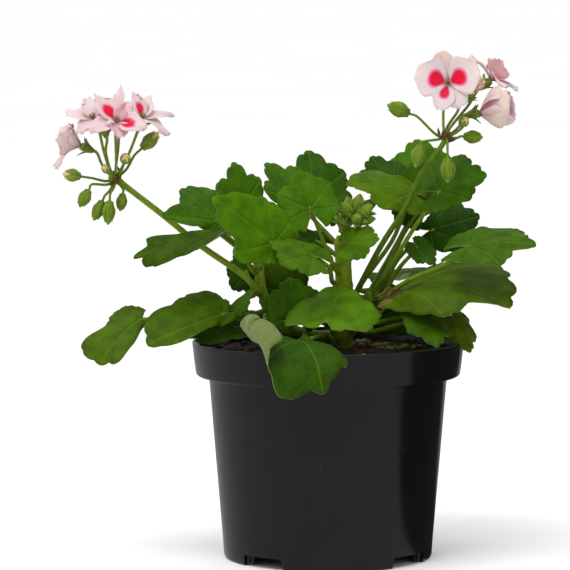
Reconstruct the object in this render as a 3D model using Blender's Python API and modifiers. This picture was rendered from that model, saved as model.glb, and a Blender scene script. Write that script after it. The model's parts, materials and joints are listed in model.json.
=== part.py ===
"""Potted zonal geranium in a 12 cm nursery pot. Millimetres here, scaled to metres when a mesh is made.
Z is up, the pot stands on Z = 0 and its axis is the Z axis. The plant's front is -Y."""

import math

import bmesh
import bpy
import numpy as np
from mathutils import Matrix, Vector

# Driving dimensions of the pot, in mm.
potHeight = 96.0
rimRadius = 60.0
rimBand = 15.0
bodyTopRadius = 52.5
bodyBottomRadius = 46.2
wall = 1.5
floorUnder = 4.2
floorTop = 5.8
drainWidth = 22.0
drainHeight = 4.9
drainTurn = 51.0
soilLevel = 91.5
clearance = 0.3

bladeThickness = 0.6


def smoothPath(points, count):
    """Catmull-Rom curve through the points."""
    pts = [np.array(p, float) for p in points]
    pts = [2 * pts[0] - pts[1]] + pts + [2 * pts[-1] - pts[-2]]
    spans = len(pts) - 3
    out = []
    for k in range(count):
        t = k * spans / (count - 1)
        i = min(int(t), spans - 1)
        t -= i
        a, b, c, d = pts[i : i + 4]
        out.append(
            0.5
            * (
                2 * b
                + (c - a) * t
                + (2 * a - 5 * b + 4 * c - d) * t * t
                + (3 * b - a - 3 * c + d) * t**3
            )
        )
    return np.array(out)


def leafReach(turn, leaf, lobe=50.0):
    """How far the margin reaches in this direction, as a share of the middle lobe."""
    base = 1 - leaf["back"] * (abs(turn) / math.radians(150)) ** 1.3
    return base * (1 - leaf["notch"] * (1 - abs(math.cos(math.pi * turn / math.radians(lobe)))))


def bladeFrame(leaf):
    joint = np.array(leaf["joint"], float)
    chord = np.array(leaf["tip"], float) - joint
    length = np.linalg.norm(chord)
    along = chord / length
    up = np.array(leaf["up"], float)
    up = up - along * np.dot(up, along)
    up /= np.linalg.norm(up)
    return joint, length, along, np.cross(up, along), up


def bladePoint(leaf, frame, u, v):
    """A point of the blade's middle surface: u along the midrib, v across it, both measured on the flat leaf."""
    joint, chord, along, across, up = frame
    bend = math.radians(leaf["bend"]) or 0.001
    length = chord * (bend / 2) / math.sin(bend / 2)
    wide = leaf["wide"][0] if v > 0 else leaf["wide"][1]
    turn = math.atan2(v / wide, u)
    reach = length * leafReach(turn, leaf)
    edge = min(math.hypot(u, v / wide) / reach, 1.3)
    k = bend / length
    x = (math.sin(bend / 2) - math.sin(bend / 2 - k * u)) / k
    z = (math.cos(bend / 2 - k * u) - math.cos(bend / 2)) / k
    slope = bend / 2 - k * u
    half = 0.85 * wide * length
    curl = math.radians(leaf["curl"][0] if v > 0 else leaf["curl"][1]) or 0.001
    flat = half * leaf["roll"]
    c = curl / (half - flat)
    rolled = max(abs(v) - flat, 0)
    side = math.copysign(min(abs(v), flat) + math.sin(c * rolled) / c, v)
    lift = -(1 - math.cos(c * rolled)) / c
    lift += leaf["ripple"] * length * edge**3 * math.cos(3 * turn + leaf["phase"])
    normal = up * math.cos(slope) - along * math.sin(slope)
    return joint + along * x + up * z + across * side + normal * lift


# Directions of the lobes' ends and of the notches between them, in degrees from the midrib.
marginTurns = (-158, -148, -125, -100, -75, -50, -25, 0, 25, 50, 75, 100, 125, 148, 158)

# The leaves. joint is where the petiole meets the blade, tip the end of the middle lobe, up the side
# its face looks to, bend the droop along the midrib. wide and curl are the breadth and the droop of
# the two halves, roll the share of a half that stays flat, back how short the hind lobes are.
plain = {"wide": (1.0, 1.0), "bend": 30, "curl": (20, 20), "roll": 0.0, "ripple": 0.05, "phase": 0.0, "notch": 0.13, "back": 0.4, "via": []}

leaves = {
    "leaf_far_left": {"root": (-31, -2, 103.5), "via": [(-54, -8, 110)], "joint": (-82, -12, 107), "tip": (-106, -26, 88), "up": (-0.5, -0.7, 0.5), "wide": (0.8, 0.8), "bend": 70, "curl": (30, 35), "back": 0.6},
    "leaf_left_low": {"root": (-31.5, -3.5, 108.5), "joint": (-47, -17, 110), "tip": (-77, -30, 105), "up": (0.05, -0.62, 0.78), "wide": (0.6, 0.75), "bend": 30, "curl": (10, 30), "back": 0.75},
    "leaf_over_rim_left": {"root": (-26, 3.5, 98), "joint": (-41, -8, 101), "tip": (-62, -14, 98.5), "up": (-0.1, -0.35, 0.93), "wide": (0.75, 0.75), "bend": 15, "curl": (15, 15)},
    "leaf_over_rim_front": {"root": (2, -6, 96), "via": [(-2, -24, 101)], "joint": (-13, -47, 101), "tip": (-8, -72, 79), "up": (-0.1, -0.85, 0.5), "wide": (0.72, 0.95), "bend": 100, "curl": (15, -150), "roll": 0.45, "back": 0.5},
    "leaf_front_middle": {"root": (10, -2, 101), "joint": (-1, -32, 110), "tip": (5, -10, 122), "up": (-0.1, -0.75, 0.65), "wide": (1.05, 0.95), "bend": 15, "curl": (35, 25), "back": 0.75},
    "leaf_centre_dark": {"root": (1, 0, 102), "joint": (-14, -11, 108), "tip": (-17, -5, 124), "up": (0.1, -0.9, 0.4), "wide": (1.0, 1.0), "bend": 20, "curl": (10, 10), "back": 0.45},
    "leaf_upper_left": {"root": (-31, -3.5, 128), "via": [(-29, -16, 136)], "joint": (-30, -26, 142), "tip": (-52, -36, 160), "up": (-0.1, -0.8, 0.6), "wide": (0.85, 0.95), "bend": 15, "curl": (20, 20), "back": 0.45},
    "leaf_behind_left": {"root": (-30, 4, 134), "joint": (-38, 4, 154), "tip": (-42, 10, 174), "up": (0.05, -0.85, 0.5), "wide": (0.65, 0.75), "bend": 10, "curl": (15, 15), "notch": 0.2},
    "leaf_left_round": {"root": (-34, 0, 132), "joint": (-53, -12, 148), "tip": (-74, -18, 158), "up": (-0.1, -0.8, 0.6), "wide": (0.35, 1.05), "bend": 30, "curl": (25, 25)},
    "leaf_left_edge_on": {"root": (-33, -3.5, 127), "via": [(-46, -13, 136)], "joint": (-60, -22, 140.5), "tip": (-85, -27, 135.5), "up": (-0.05, -0.25, 0.97), "wide": (0.8, 0.5), "bend": 30, "curl": (15, 15), "back": 0.7},
    "leaf_back_top_left": {"root": (4, 9, 138), "joint": (-14, 14, 157), "tip": (-28, 24, 172), "up": (0, -0.8, 0.6), "wide": (0.5, 0.8), "bend": 15, "curl": (15, 15), "notch": 0.2},
    "leaf_back_top": {"root": (7, 9, 142), "via": [(3, 16, 150)], "joint": (-4, 20, 158), "tip": (-6, 34, 179), "up": (0, -0.85, 0.5), "wide": (0.85, 0.9), "bend": 15, "curl": (20, 20), "notch": 0.17},
    "leaf_centre_top": {"root": (3, -1, 128), "joint": (-8, -14, 155), "tip": (-13, -8, 171), "up": (0, -0.9, 0.45), "wide": (1.0, 1.0), "bend": 10, "curl": (15, 15)},
    "leaf_centre_grazing": {"root": (2, -2, 122), "via": [(0, -18, 130)], "joint": (-5, -34, 135), "tip": (-26, -30, 140), "up": (0, -0.45, 0.9), "wide": (0.95, 0.95), "bend": 30, "curl": (20, 25)},
    "leaf_right_back_cup": {"root": (10, 9, 140), "via": [(20, 20, 154)], "joint": (30, 30, 163), "tip": (20, 44, 175), "up": (0.1, -0.75, 0.6), "wide": (0.9, 0.7), "bend": -20, "curl": (-15, -15), "back": 0.5},
    "leaf_right_front_cup": {"root": (14.5, 8, 119.5), "via": [(29, 11, 140)], "joint": (38, 12, 160.5), "tip": (8, 0, 164), "up": (-0.1, -0.6, 0.78), "wide": (0.6, 0.75), "bend": 40, "curl": (30, 30), "back": 0.6},
    "leaf_right_high_back": {"root": (19, 12, 117), "via": [(36, 28, 146)], "joint": (44, 40, 165), "tip": (41, 52, 182), "up": (0.05, -0.85, 0.5), "wide": (0.95, 0.95), "bend": 15, "curl": (15, 15)},
    "leaf_right_round": {"root": (22, 5, 119), "via": [(37, -5, 145)], "joint": (48, -8, 162.5), "tip": (69, -14, 169.5), "up": (0.1, -0.8, 0.6), "wide": (1.0, 0.55), "bend": 20, "curl": (20, 20)},
    "leaf_right_dark": {"root": (23, 9, 116), "via": [(32, 12, 132)], "joint": (46, 14, 144), "tip": (67, 20, 150), "up": (0.05, -0.8, 0.55), "wide": (0.8, 0.75), "bend": 20, "curl": (25, 20), "back": 0.5},
    "leaf_far_right": {"root": (21.5, 0.5, 112), "via": [(31, -12, 124.5), (47, -24, 135)], "joint": (56, -30, 143), "tip": (88, -38, 143), "up": (0.0, -0.45, 0.9), "wide": (0.85, 0.85), "bend": 35, "curl": (15, 25), "back": 0.5},
    "leaf_right_large": {"root": (20, 4, 108), "joint": (35, -10, 119.5), "tip": (80, -28, 120), "up": (0.1, -0.5, 0.86), "wide": (0.75, 0.45), "bend": 40, "curl": (25, 30), "back": 0.85},
    "leaf_over_rim_right": {"root": (18, -1, 103), "via": [(27, -7, 106)], "joint": (40, -17, 110.5), "tip": (46, -36, 96), "up": (0.3, -0.8, 0.5), "wide": (0.7, 0.75), "bend": 30, "curl": (20, 20), "back": 0.7},
    "leaf_low_right": {"root": (18, 5, 99), "via": [(38, 2, 104)], "joint": (56, -5, 107), "tip": (63, -16, 92), "up": (0.45, -0.75, 0.3), "wide": (0.75, 0.75), "bend": 35, "curl": (20, 20), "back": 0.6},
    "leaf_small_young": {"root": (10.5, 1, 134), "joint": (9.5, -10, 140), "tip": (22, -16, 142), "up": (0, -0.75, 0.65), "wide": (0.9, 0.9), "bend": 15, "curl": (15, 15)},
    "leaf_hanging_right": {"root": (22.5, 6.5, 112), "via": [(31, 4, 127)], "joint": (39, 3, 138), "tip": (47, -4, 129.5), "up": (0.1, -0.9, 0.5), "wide": (0.6, 0.6), "bend": 20, "curl": (15, 15), "back": 0.6},
    "leaf_narrow_left": {"root": (-33, -4, 116.5), "joint": (-42.5, -7, 114), "tip": (-35, -15, 125.5), "up": (-0.75, -0.35, 0.5), "wide": (0.35, 0.35), "bend": 10, "curl": (10, 10), "back": 0.8},
    "leaf_left_shade": {"root": (-33.5, 2.5, 121), "joint": (-39, 6, 130), "tip": (-46, 10, 117), "up": (-0.1, -0.8, 0.5), "wide": (0.55, 0.55), "bend": 20, "curl": (15, 15)},
    "leaf_back_low_left": {"root": (-27, 5, 102), "via": [(-26, 24, 104)], "joint": (-28, 42, 104), "tip": (-50, 70, 92), "up": (-0.2, 0.45, 0.87), "wide": (0.7, 0.7), "bend": 40, "curl": (20, 20), "back": 0.6},
    "leaf_back_low_middle": {"root": (9, 10, 100), "via": [(8, 30, 112)], "joint": (8, 48, 112), "tip": (10, 82, 99), "up": (0.05, 0.5, 0.85), "wide": (0.9, 0.9), "bend": 45, "curl": (20, 20)},
    "leaf_back_right": {"root": (19, 12.5, 112), "via": [(30, 30, 122)], "joint": (40, 44, 124), "tip": (62, 72, 114), "up": (0.3, 0.4, 0.87), "wide": (0.9, 0.9), "bend": 40, "curl": (20, 20)},
    "leaf_back_left": {"root": (-30, 4, 129), "via": [(-30, 26, 140)], "joint": (-33, 42, 144), "tip": (-51, 66, 148), "up": (-0.15, 0.1, 0.98), "wide": (0.8, 0.8), "bend": 35, "curl": (20, 20), "back": 0.6},
}
leaves = {name: {**plain, **leaf} for name, leaf in leaves.items()}

# Flower heads: the hub each pedicel leaves from, then buds and open florets.
hubs = {
    "left": {"centre": (-93, -10, 168), "path": [(-32, -3.5, 119), (-37, -3, 125), (-56, -2, 138), (-73, -4, 152), (-93, -10, 168)]},
    "right": {"centre": (51, -12, 186), "path": [(18.5, 3.6, 119), (27, -3, 136), (37, -10, 156.5), (48, -14, 178), (51, -12, 186)]},
}

buds = {
    "left_bud_outer": {"hub": "left", "start": (-97.4, -10.5, 167), "via": (-103, -12.5, 168.4), "tip": (-116, -15, 170.5), "girth": 2.7},
    "left_bud_low_outer": {"hub": "left", "start": (-96.5, -12.5, 165.6), "via": (-103, -16, 166), "tip": (-108.5, -17, 154.5), "girth": 2.6},
    "left_bud_hanging_outer": {"hub": "left", "start": (-95.2, -13.6, 163.4), "via": (-97.5, -14.5, 161), "tip": (-102.5, -15, 149), "girth": 2.6},
    "left_bud_hanging_middle": {"hub": "left", "start": (-93.5, -14.5, 164.8), "via": (-95, -18.5, 162), "tip": (-96, -20, 148.5), "girth": 2.7},
    "left_bud_hanging_inner": {"hub": "left", "start": (-89.9, -12.5, 164), "via": (-89.5, -13.5, 163), "tip": (-91, -14, 154), "girth": 2.3},
    "left_bud_facing_low": {"hub": "left", "start": (-93.8, -14.6, 169.6), "via": (-95.5, -18, 172), "tip": (-97.5, -25, 174), "girth": 2.4},
    "left_bud_facing_high": {"hub": "left", "start": (-90.6, -13.6, 171.2), "via": (-89, -17, 175.5), "tip": (-87.5, -25, 179), "girth": 2.6},
    "left_bud_upper_right": {"hub": "left", "start": (-88.3, -9.3, 172.2), "via": (-85, -9, 178), "tip": (-74, -9, 188.5), "girth": 2.9},
    "right_bud_outer": {"hub": "right", "start": (46.6, -11.2, 187.6), "via": (39, -11.5, 195), "tip": (25.5, -13, 200.5), "girth": 3.2},
    "right_bud_drooping": {"hub": "right", "start": (46.6, -13.2, 185.2), "via": (40.5, -16, 184.5), "tip": (37.5, -18.5, 173.5), "girth": 3.0},
    "right_bud_hanging": {"hub": "right", "start": (51.5, -16.6, 185), "via": (51.5, -20.5, 181.5), "tip": (51.5, -22.5, 167), "girth": 3.2},
    "right_bud_short": {"hub": "right", "start": (55.6, -13.5, 186), "via": (57.5, -15, 186.8), "tip": (67, -18, 186.5), "girth": 2.7},
    "right_bud_young": {"hub": "right", "start": (54.8, -11, 189), "via": (57, -7, 192), "tip": (60, -4, 197), "girth": 2.2},
}

florets = {
    "left_floret_outer": {"hub": "left", "start": (-97, -8.5, 171), "via": (-104, -8, 176), "centre": (-109, -9, 187), "face": (-0.95, -0.2, 0.3), "up": (0.1, 0.2, 1), "reach": 13, "open": 38, "flare": 30},
    "left_floret_upper_left": {"hub": "left", "start": (-95.4, -12.6, 172), "via": (-100, -14.5, 181), "centre": (-104, -16, 197), "face": (-0.35, -0.3, 0.9), "up": (-1, 0, 0.1), "reach": 12, "open": 45, "flare": 25},
    "left_floret_top": {"hub": "left", "start": (-93, -9, 172.9), "via": (-92, -6, 182), "centre": (-91, -4, 199), "face": (0.0, -0.25, 0.97), "up": (0, 1, 0.1), "reach": 12.5, "open": 45, "flare": 25},
    "left_floret_front": {"hub": "left", "start": (-92.6, -13.6, 172.4), "via": (-92.5, -20, 179), "centre": (-92, -25, 192), "face": (0.0, -0.5, 0.85), "up": (-0.6, -0.5, 0), "reach": 12, "open": 48, "flare": 22},
    "left_floret_right": {"hub": "left", "start": (-90, -11, 173.4), "via": (-86, -14, 182), "centre": (-80, -16, 197), "face": (0.4, -0.35, 0.85), "up": (1, 0, 0), "reach": 12.5, "open": 45, "flare": 25},
    "left_floret_back": {"hub": "left", "start": (-95.6, -5.8, 171.8), "via": (-98, 3, 179), "centre": (-99, 9, 193), "face": (-0.2, 0.6, 0.75), "up": (0, 1, 0), "reach": 12, "open": 45, "flare": 25},
    "right_floret_large": {"hub": "right", "start": (50, -15, 190.2), "via": (50, -17, 200), "centre": (51.5, -22, 210), "face": (-0.12, -0.98, 0.12), "up": (0.05, 0, 1), "reach": 15.5, "open": 62, "flare": 18},
    "right_floret_upper": {"hub": "right", "start": (53.2, -11.5, 190.6), "via": (60, -10, 201), "centre": (68, -8, 211), "face": (0.5, 0.2, 0.85), "up": (1, 0, 0), "reach": 12, "open": 40, "flare": 30},
    "right_floret_lower": {"hub": "right", "start": (55.9, -14, 188.6), "via": (60, -13.5, 191), "centre": (66, -13, 196), "face": (0.75, -0.3, 0.35), "up": (0, 0, 1), "reach": 12, "open": 34, "flare": 20},
    "right_floret_closed": {"hub": "right", "start": (51.8, -8, 190.3), "via": (56, 1, 198), "centre": (60, 10, 206), "face": (0.1, 0.6, 0.8), "up": (1, 0, 0), "reach": 12, "open": 32, "flare": 25},
}

# ---- modelling in Blender ----

mm = 0.001

looks = {
    "pot_plastic": ((0.028, 0.027, 0.031), 0.42),
    "soil": ((0.028, 0.019, 0.012), 0.95),
    "leaf_green": ((0.075, 0.2, 0.012), 0.6),
    "stem_green": ((0.19, 0.27, 0.035), 0.55),
    "bud_green": ((0.25, 0.31, 0.035), 0.55),
    "petal_pink": ((0.78, 0.62, 0.65), 0.6),
}


def makeMaterial(name):
    colour, roughness = looks[name]
    material = bpy.data.materials.new(name)
    material.use_nodes = True
    shader = material.node_tree.nodes["Principled BSDF"]
    shader.inputs["Base Color"].default_value = (*colour, 1)
    shader.inputs["Roughness"].default_value = roughness
    shader.inputs["Metallic"].default_value = 0.0
    return material


def deselect():
    for other in bpy.context.selected_objects:
        other.select_set(False)


def applyModifiers(obj):
    deselect()
    bpy.context.view_layer.objects.active = obj
    obj.select_set(True)
    for modifier in list(obj.modifiers):
        bpy.ops.object.modifier_apply(modifier=modifier.name)


def linkMesh(name, bm):
    """Puts the bmesh into a new object of this name, with its faces turned outwards."""
    bmesh.ops.remove_doubles(bm, verts=bm.verts, dist=0.002 * mm)
    bmesh.ops.recalc_face_normals(bm, faces=bm.faces)
    mesh = bpy.data.meshes.new(name)
    bm.to_mesh(mesh)
    bm.free()
    obj = bpy.data.objects.new(name, mesh)
    bpy.context.scene.collection.objects.link(obj)
    return obj


def tube(name, path, radii, resolution=1):
    """Curve through the points, bevelled to one radius for each, made a mesh with welded caps."""
    curve = bpy.data.curves.new(name, "CURVE")
    curve.dimensions = "3D"
    curve.bevel_depth = mm
    curve.bevel_resolution = resolution
    curve.use_fill_caps = True
    spline = curve.splines.new("POLY")
    spline.points.add(len(path) - 1)
    for point, place, radius in zip(spline.points, path, radii):
        point.co = (*(Vector(place) * mm), 1)
        point.radius = radius
    guide = bpy.data.objects.new(name + "_curve", curve)
    bpy.context.scene.collection.objects.link(guide)
    evaluated = guide.evaluated_get(bpy.context.evaluated_depsgraph_get())
    mesh = bpy.data.meshes.new_from_object(evaluated)
    bm = bmesh.new()
    bm.from_mesh(mesh)
    bpy.data.objects.remove(guide)
    bpy.data.curves.remove(curve)
    bpy.data.meshes.remove(mesh)
    return linkMesh(name, bm)


def sheet(name, columns, rows, place):
    """Grid bent to shape: place(i, k) gives the point of column i and row k, in mm. Row 0 meets in one point."""
    bm = bmesh.new()
    bmesh.ops.create_grid(bm, x_segments=columns, y_segments=rows, size=1)
    for vert in bm.verts:
        i = round((vert.co.x + 1) / 2 * columns)
        k = round((vert.co.y + 1) / 2 * rows)
        vert.co = Vector(place(i, k)) * mm
    obj = linkMesh(name, bm)
    skin = obj.modifiers.new("thickness", "SOLIDIFY")
    skin.thickness = bladeThickness * mm
    skin.offset = 0
    applyModifiers(obj)
    return obj


def combine(obj, others, operation="UNION"):
    """Joins or cuts with the other solids, then removes them."""
    for other in others:
        modifier = obj.modifiers.new(operation.lower(), "BOOLEAN")
        modifier.operation = operation
        modifier.solver = "EXACT"
        modifier.object = other
        applyModifiers(obj)
        bpy.data.objects.remove(other)
    return obj


def turned(name, profile, steps):
    """Solid of revolution about Z, from a profile that runs down the outer side, in mm."""
    mesh = bpy.data.meshes.new(name)
    bm = bmesh.new()
    verts = [bm.verts.new((radius * mm, 0, height * mm)) for radius, height in profile]
    for a, b in zip(verts, verts[1:]):
        bm.edges.new((a, b))
    bm.to_mesh(mesh)
    bm.free()
    obj = bpy.data.objects.new(name, mesh)
    bpy.context.scene.collection.objects.link(obj)
    screw = obj.modifiers.new("turn", "SCREW")
    screw.steps = screw.render_steps = steps
    screw.use_merge_vertices = True
    screw.merge_threshold = 0.00001
    applyModifiers(obj)
    return obj


def finish(obj, material, origin=(0, 0, 0)):
    """Gives the object its material, its origin at this point, and the plant's empty as parent."""
    origin = Vector(origin) * mm
    obj.data.transform(Matrix.Translation(-origin))
    obj.location = origin
    obj.data.materials.clear()
    obj.data.materials.append(material)
    obj.data.shade_smooth()
    obj.data.set_sharp_from_angle(angle=math.radians(40))
    obj.parent = whole
    for held in list(obj.users_collection):
        held.objects.unlink(obj)
    parts.objects.link(obj)


def makePot():
    rimBottom = potHeight - rimBand
    outer = [
        (rimRadius - 0.5, potHeight),
        (rimRadius - 0.2, potHeight - 0.5),
        (rimRadius - 1.6, rimBottom + 1.2),
        (rimRadius - 2.6, rimBottom),
        (bodyTopRadius + 0.5, rimBottom - 0.3),
        (bodyTopRadius, rimBottom - 1.2),
        (bodyBottomRadius - 0.2, 1.3),
        (bodyBottomRadius - 1.4, 0.0),
        (bodyBottomRadius - 3.2, 0.0),
        (bodyBottomRadius - 3.4, floorUnder),
        (9.0, floorUnder),
        (9.0, 0.0),
        (0.0, 0.0),
    ]
    inner = [
        (0.0, floorTop),
        (bodyBottomRadius - wall, floorTop),
        (bodyTopRadius - wall, rimBottom - 1.0),
        (rimRadius - 3.4 - wall, rimBottom + 1.2),
        (rimRadius - 1.6 - wall, rimBottom + 2.0),
        (rimRadius - wall, potHeight),
    ]
    pot = turned("nursery_pot", inner + outer, 40)
    bars = []
    for k in range(4):
        turn = math.radians(drainTurn + 90 * k - 90)
        reach = bodyBottomRadius + 0.5
        bpy.ops.mesh.primitive_cube_add(size=1)
        bar = bpy.context.active_object
        bar.scale = (9.0 * mm, drainWidth * mm, 10.0 * mm)
        bar.rotation_euler = (0, 0, turn)
        bar.location = Vector((reach * math.cos(turn), reach * math.sin(turn), drainHeight - 5)) * mm
        deselect()
        bar.select_set(True)
        bpy.ops.object.transform_apply(location=True, rotation=True, scale=True)
        bars.append(bar)
    return combine(pot, bars, "DIFFERENCE")


def makeSoil():
    gap = clearance
    rimBottom = potHeight - rimBand
    soil = turned(
        "potting_soil",
        [
            (0.0, soilLevel + 1.6),
            (12.0, soilLevel + 1.2),
            (26.0, soilLevel + 0.4),
            (44.0, soilLevel - 0.8),
            (rimRadius - wall - gap - 0.8, soilLevel),
            (rimRadius - 1.6 - wall - gap, rimBottom + 2.0 + gap),
            (rimRadius - 3.4 - wall - gap, rimBottom + 1.2 + gap),
            (bodyTopRadius - wall - gap, rimBottom - 1.0),
            (bodyBottomRadius - wall - gap, floorTop + gap),
            (0.0, floorTop + gap),
        ],
        32,
    )
    socket = tube("socket", [(7, 5, 78), (7, 5, 110)], [5.0 + gap] * 2, 5)
    return combine(soil, [socket], "DIFFERENCE")


def makeStems():
    main = smoothPath([(7, 5, 78 + clearance), (7, 5, 100), (7, 5, 120), (6.5, 5, 142)], 9)
    left = smoothPath([(6, 5, 97), (-8, 3.5, 98), (-22, 1.5, 104), (-29, 0.5, 117), (-31, 0, 135)], 10)
    right = smoothPath([(8, 5, 98), (14, 6, 104), (18, 7.5, 113), (19, 8, 117)], 6)
    stem = tube("main_stem", main, np.linspace(4.4, 3.4, 9), 4)
    limbs = [tube("limb", left, np.linspace(2.7, 2.1, 10), 2), tube("limb", right, np.linspace(3.0, 2.4, 6), 2)]
    return combine(stem, limbs)


def makeLeaf(name, leaf):
    frame = bladeFrame(leaf)
    bend = math.radians(leaf["bend"])
    length = frame[1] * (bend / 2) / math.sin(bend / 2)
    rows = 2

    def place(i, k):
        turn = math.radians(marginTurns[i])
        reach = length * leafReach(turn, leaf) * k / rows
        wide = leaf["wide"][0] if turn > 0 else leaf["wide"][1]
        return bladePoint(leaf, frame, reach * math.cos(turn), wide * reach * math.sin(turn))

    blade = sheet(name, len(marginTurns) - 1, rows, place)
    end = frame[0] + frame[4] * 0.1 + frame[2] * 1.2
    path = smoothPath([leaf["root"]] + leaf["via"] + [end], 5)
    return combine(blade, [tube("petiole", path, np.linspace(1.15, 0.85, 5), 1)])


def dish(name, shape, columns, rows=2):
    """Petals or bracts as one shallow funnel: five lobes round the centre, opening along face."""
    centre = Vector(shape["centre"])
    face = Vector(shape["face"]).normalized()
    up = Vector(shape["up"])
    up = (up - face * up.dot(face)).normalized()
    side = up.cross(face)

    def place(i, k):
        turn = 2 * math.pi * i / columns
        share = k / rows
        tilt = math.radians(shape["open"] + shape["flare"] * share)
        reach = shape["reach"] * (0.78 + 0.22 * abs(math.cos(2.5 * turn))) * share
        out = up * math.cos(turn) + side * math.sin(turn)
        return centre + out * reach * math.sin(tilt) + face * reach * math.cos(tilt)

    return sheet(name, columns, rows, place)


def makeStalk(name, hub):
    path = smoothPath(hub["path"], 12)
    way = Vector(path[-1] - path[-2]).normalized()
    path = [Vector(p) for p in path]
    path.append(path[-1] + way * 3.0)
    radii = list(np.linspace(1.7, 1.5, 10)) + [2.4, 3.2, 1.6]
    stalk = tube(name, path, radii, 2)
    collar = {"centre": path[-2] - way * 0.8, "face": way, "up": (0.2, 1, 0.3), "reach": 5.6, "open": 66, "flare": 24}
    return combine(stalk, [dish("bracts", collar, 10)])


def makeBud(name, bud):
    start, via, tip = (Vector(bud[k]) for k in ("start", "via", "tip"))
    girth = bud["girth"]
    length = 11.5 if girth > 2.5 else 9.0
    way = (tip - via).normalized()
    base = tip - way * min(length, (tip - via).length * 0.9)
    path, radii = [start, (start + via) / 2], [0.6, 0.55]
    if (base - via).length > 0.8:
        path.append(via)
        radii.append(0.55)
    swell = [(0.0, 0.75), (0.12, 1.5), (0.35, girth), (0.62, girth * 0.92), (0.86, girth * 0.5), (1.0, 0.3)]
    for share, radius in swell:
        path.append(base.lerp(tip, share))
        radii.append(radius)
    return tube(name, path, radii, 1)


def makeFloret(name, floret):
    face = Vector(floret["face"]).normalized()
    centre = Vector(floret["centre"])
    petals = dish(name, floret, 15)
    path = smoothPath([floret["start"], floret["via"], centre - face * 7.5, centre - face * 3.5, centre + face * 0.5], 9)
    radii = [0.6, 0.6, 0.6, 0.6, 0.62, 0.8, 1.5, 1.9, 1.3]
    return combine(petals, [tube("pedicel", path, radii, 1)])


def makeCluster():
    """Unopened flower buds packed on the shoot's tip."""
    path = smoothPath([(6.4, 5, 143.2), (8, 4, 147.5), (12, 0, 152)], 5)
    stalk = tube("young_bud_cluster", path, [2.0, 1.8, 1.8, 2.4, 3.0], 2)
    spots = [
        ((12, -1, 151), (14, -2, 160.5), 3.0),
        ((11, -1, 150), (6, -6, 157), 2.8),
        ((12, -1, 150), (19, -6, 156), 2.8),
        ((11, -1, 150), (8.5, 4, 159), 2.7),
        ((12, -1, 150), (20, 3, 158), 2.7),
        ((11, -1, 149), (13.5, -9, 151), 2.6),
        ((10, 0, 148), (4, -5, 150), 2.4),
        ((11, -1, 149), (20.5, -3, 150), 2.4),
    ]
    knobs = []
    for low, high, girth in spots:
        path = [Vector(low).lerp(Vector(high), share) for share in (0.0, 0.25, 0.6, 0.9, 1.05)]
        knobs.append(tube("knob", path, [1.0, girth * 0.8, girth, girth * 0.6, 0.3], 1))
    return combine(stalk, knobs)


for obj in list(bpy.data.objects):
    bpy.data.objects.remove(obj)
parts = bpy.data.collections.new("potted_geranium")
bpy.context.scene.collection.children.link(parts)
whole = bpy.data.objects.new("potted_geranium_origin", None)
parts.objects.link(whole)
materials = {name: makeMaterial(name) for name in looks}

finish(makePot(), materials["pot_plastic"])
finish(makeSoil(), materials["soil"])
finish(makeStems(), materials["stem_green"], (7, 5, 92))
finish(makeCluster(), materials["bud_green"], (6.4, 5, 143.2))
for name, leaf in leaves.items():
    finish(makeLeaf(name, leaf), materials["leaf_green"], leaf["root"])
for side, hub in hubs.items():
    finish(makeStalk(side + "_flower_stalk", hub), materials["stem_green"], hub["path"][0])
for name, bud in buds.items():
    finish(makeBud(name, bud), materials["bud_green"], bud["start"])
for name, floret in florets.items():
    finish(makeFloret(name, floret), materials["petal_pink"], floret["start"])
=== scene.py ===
# Potted zonal geranium in a nursery pot. The plant's tables and shapes are in millimetres, and the
# camera, lamps, cards and meshes in metres.
import json
import math
import random

import bpy
import numpy as np
from mathutils import Matrix, Vector, noise

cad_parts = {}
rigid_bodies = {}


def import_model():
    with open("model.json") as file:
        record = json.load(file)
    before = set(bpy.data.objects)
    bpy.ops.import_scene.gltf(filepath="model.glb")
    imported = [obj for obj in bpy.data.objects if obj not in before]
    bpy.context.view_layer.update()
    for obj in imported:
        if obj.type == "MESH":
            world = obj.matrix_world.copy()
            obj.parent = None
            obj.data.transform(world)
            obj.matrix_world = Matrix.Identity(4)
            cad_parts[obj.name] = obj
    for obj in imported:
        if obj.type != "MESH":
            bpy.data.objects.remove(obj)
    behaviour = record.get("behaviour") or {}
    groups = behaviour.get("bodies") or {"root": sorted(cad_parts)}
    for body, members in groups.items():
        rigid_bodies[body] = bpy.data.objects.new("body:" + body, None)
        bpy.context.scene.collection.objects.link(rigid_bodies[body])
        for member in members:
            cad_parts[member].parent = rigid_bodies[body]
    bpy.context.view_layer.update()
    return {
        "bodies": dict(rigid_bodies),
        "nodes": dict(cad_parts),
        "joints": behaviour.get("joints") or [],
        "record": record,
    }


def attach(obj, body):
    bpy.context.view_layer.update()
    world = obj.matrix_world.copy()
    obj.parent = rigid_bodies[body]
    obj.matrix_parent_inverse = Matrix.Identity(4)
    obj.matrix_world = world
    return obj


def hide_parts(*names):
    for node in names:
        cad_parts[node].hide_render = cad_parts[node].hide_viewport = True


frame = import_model()
print("frame loaded,", len(frame["nodes"]), "nodes")

mm = 0.001
random.seed(11)

# ---- camera, light and floor ----

view = {"place": (-0.019, -1.5, 0.254), "lookAt": (-0.019, 0.0, 0.1205), "lens": 215.5, "sensor": 36.0}


def aim(obj, place, target):
    obj.location = place
    obj.rotation_euler = (Vector(target) - Vector(place)).to_track_quat("-Z", "Y").to_euler()


def deselectAll():
    for other in list(bpy.context.selected_objects):
        other.select_set(False)


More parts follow.
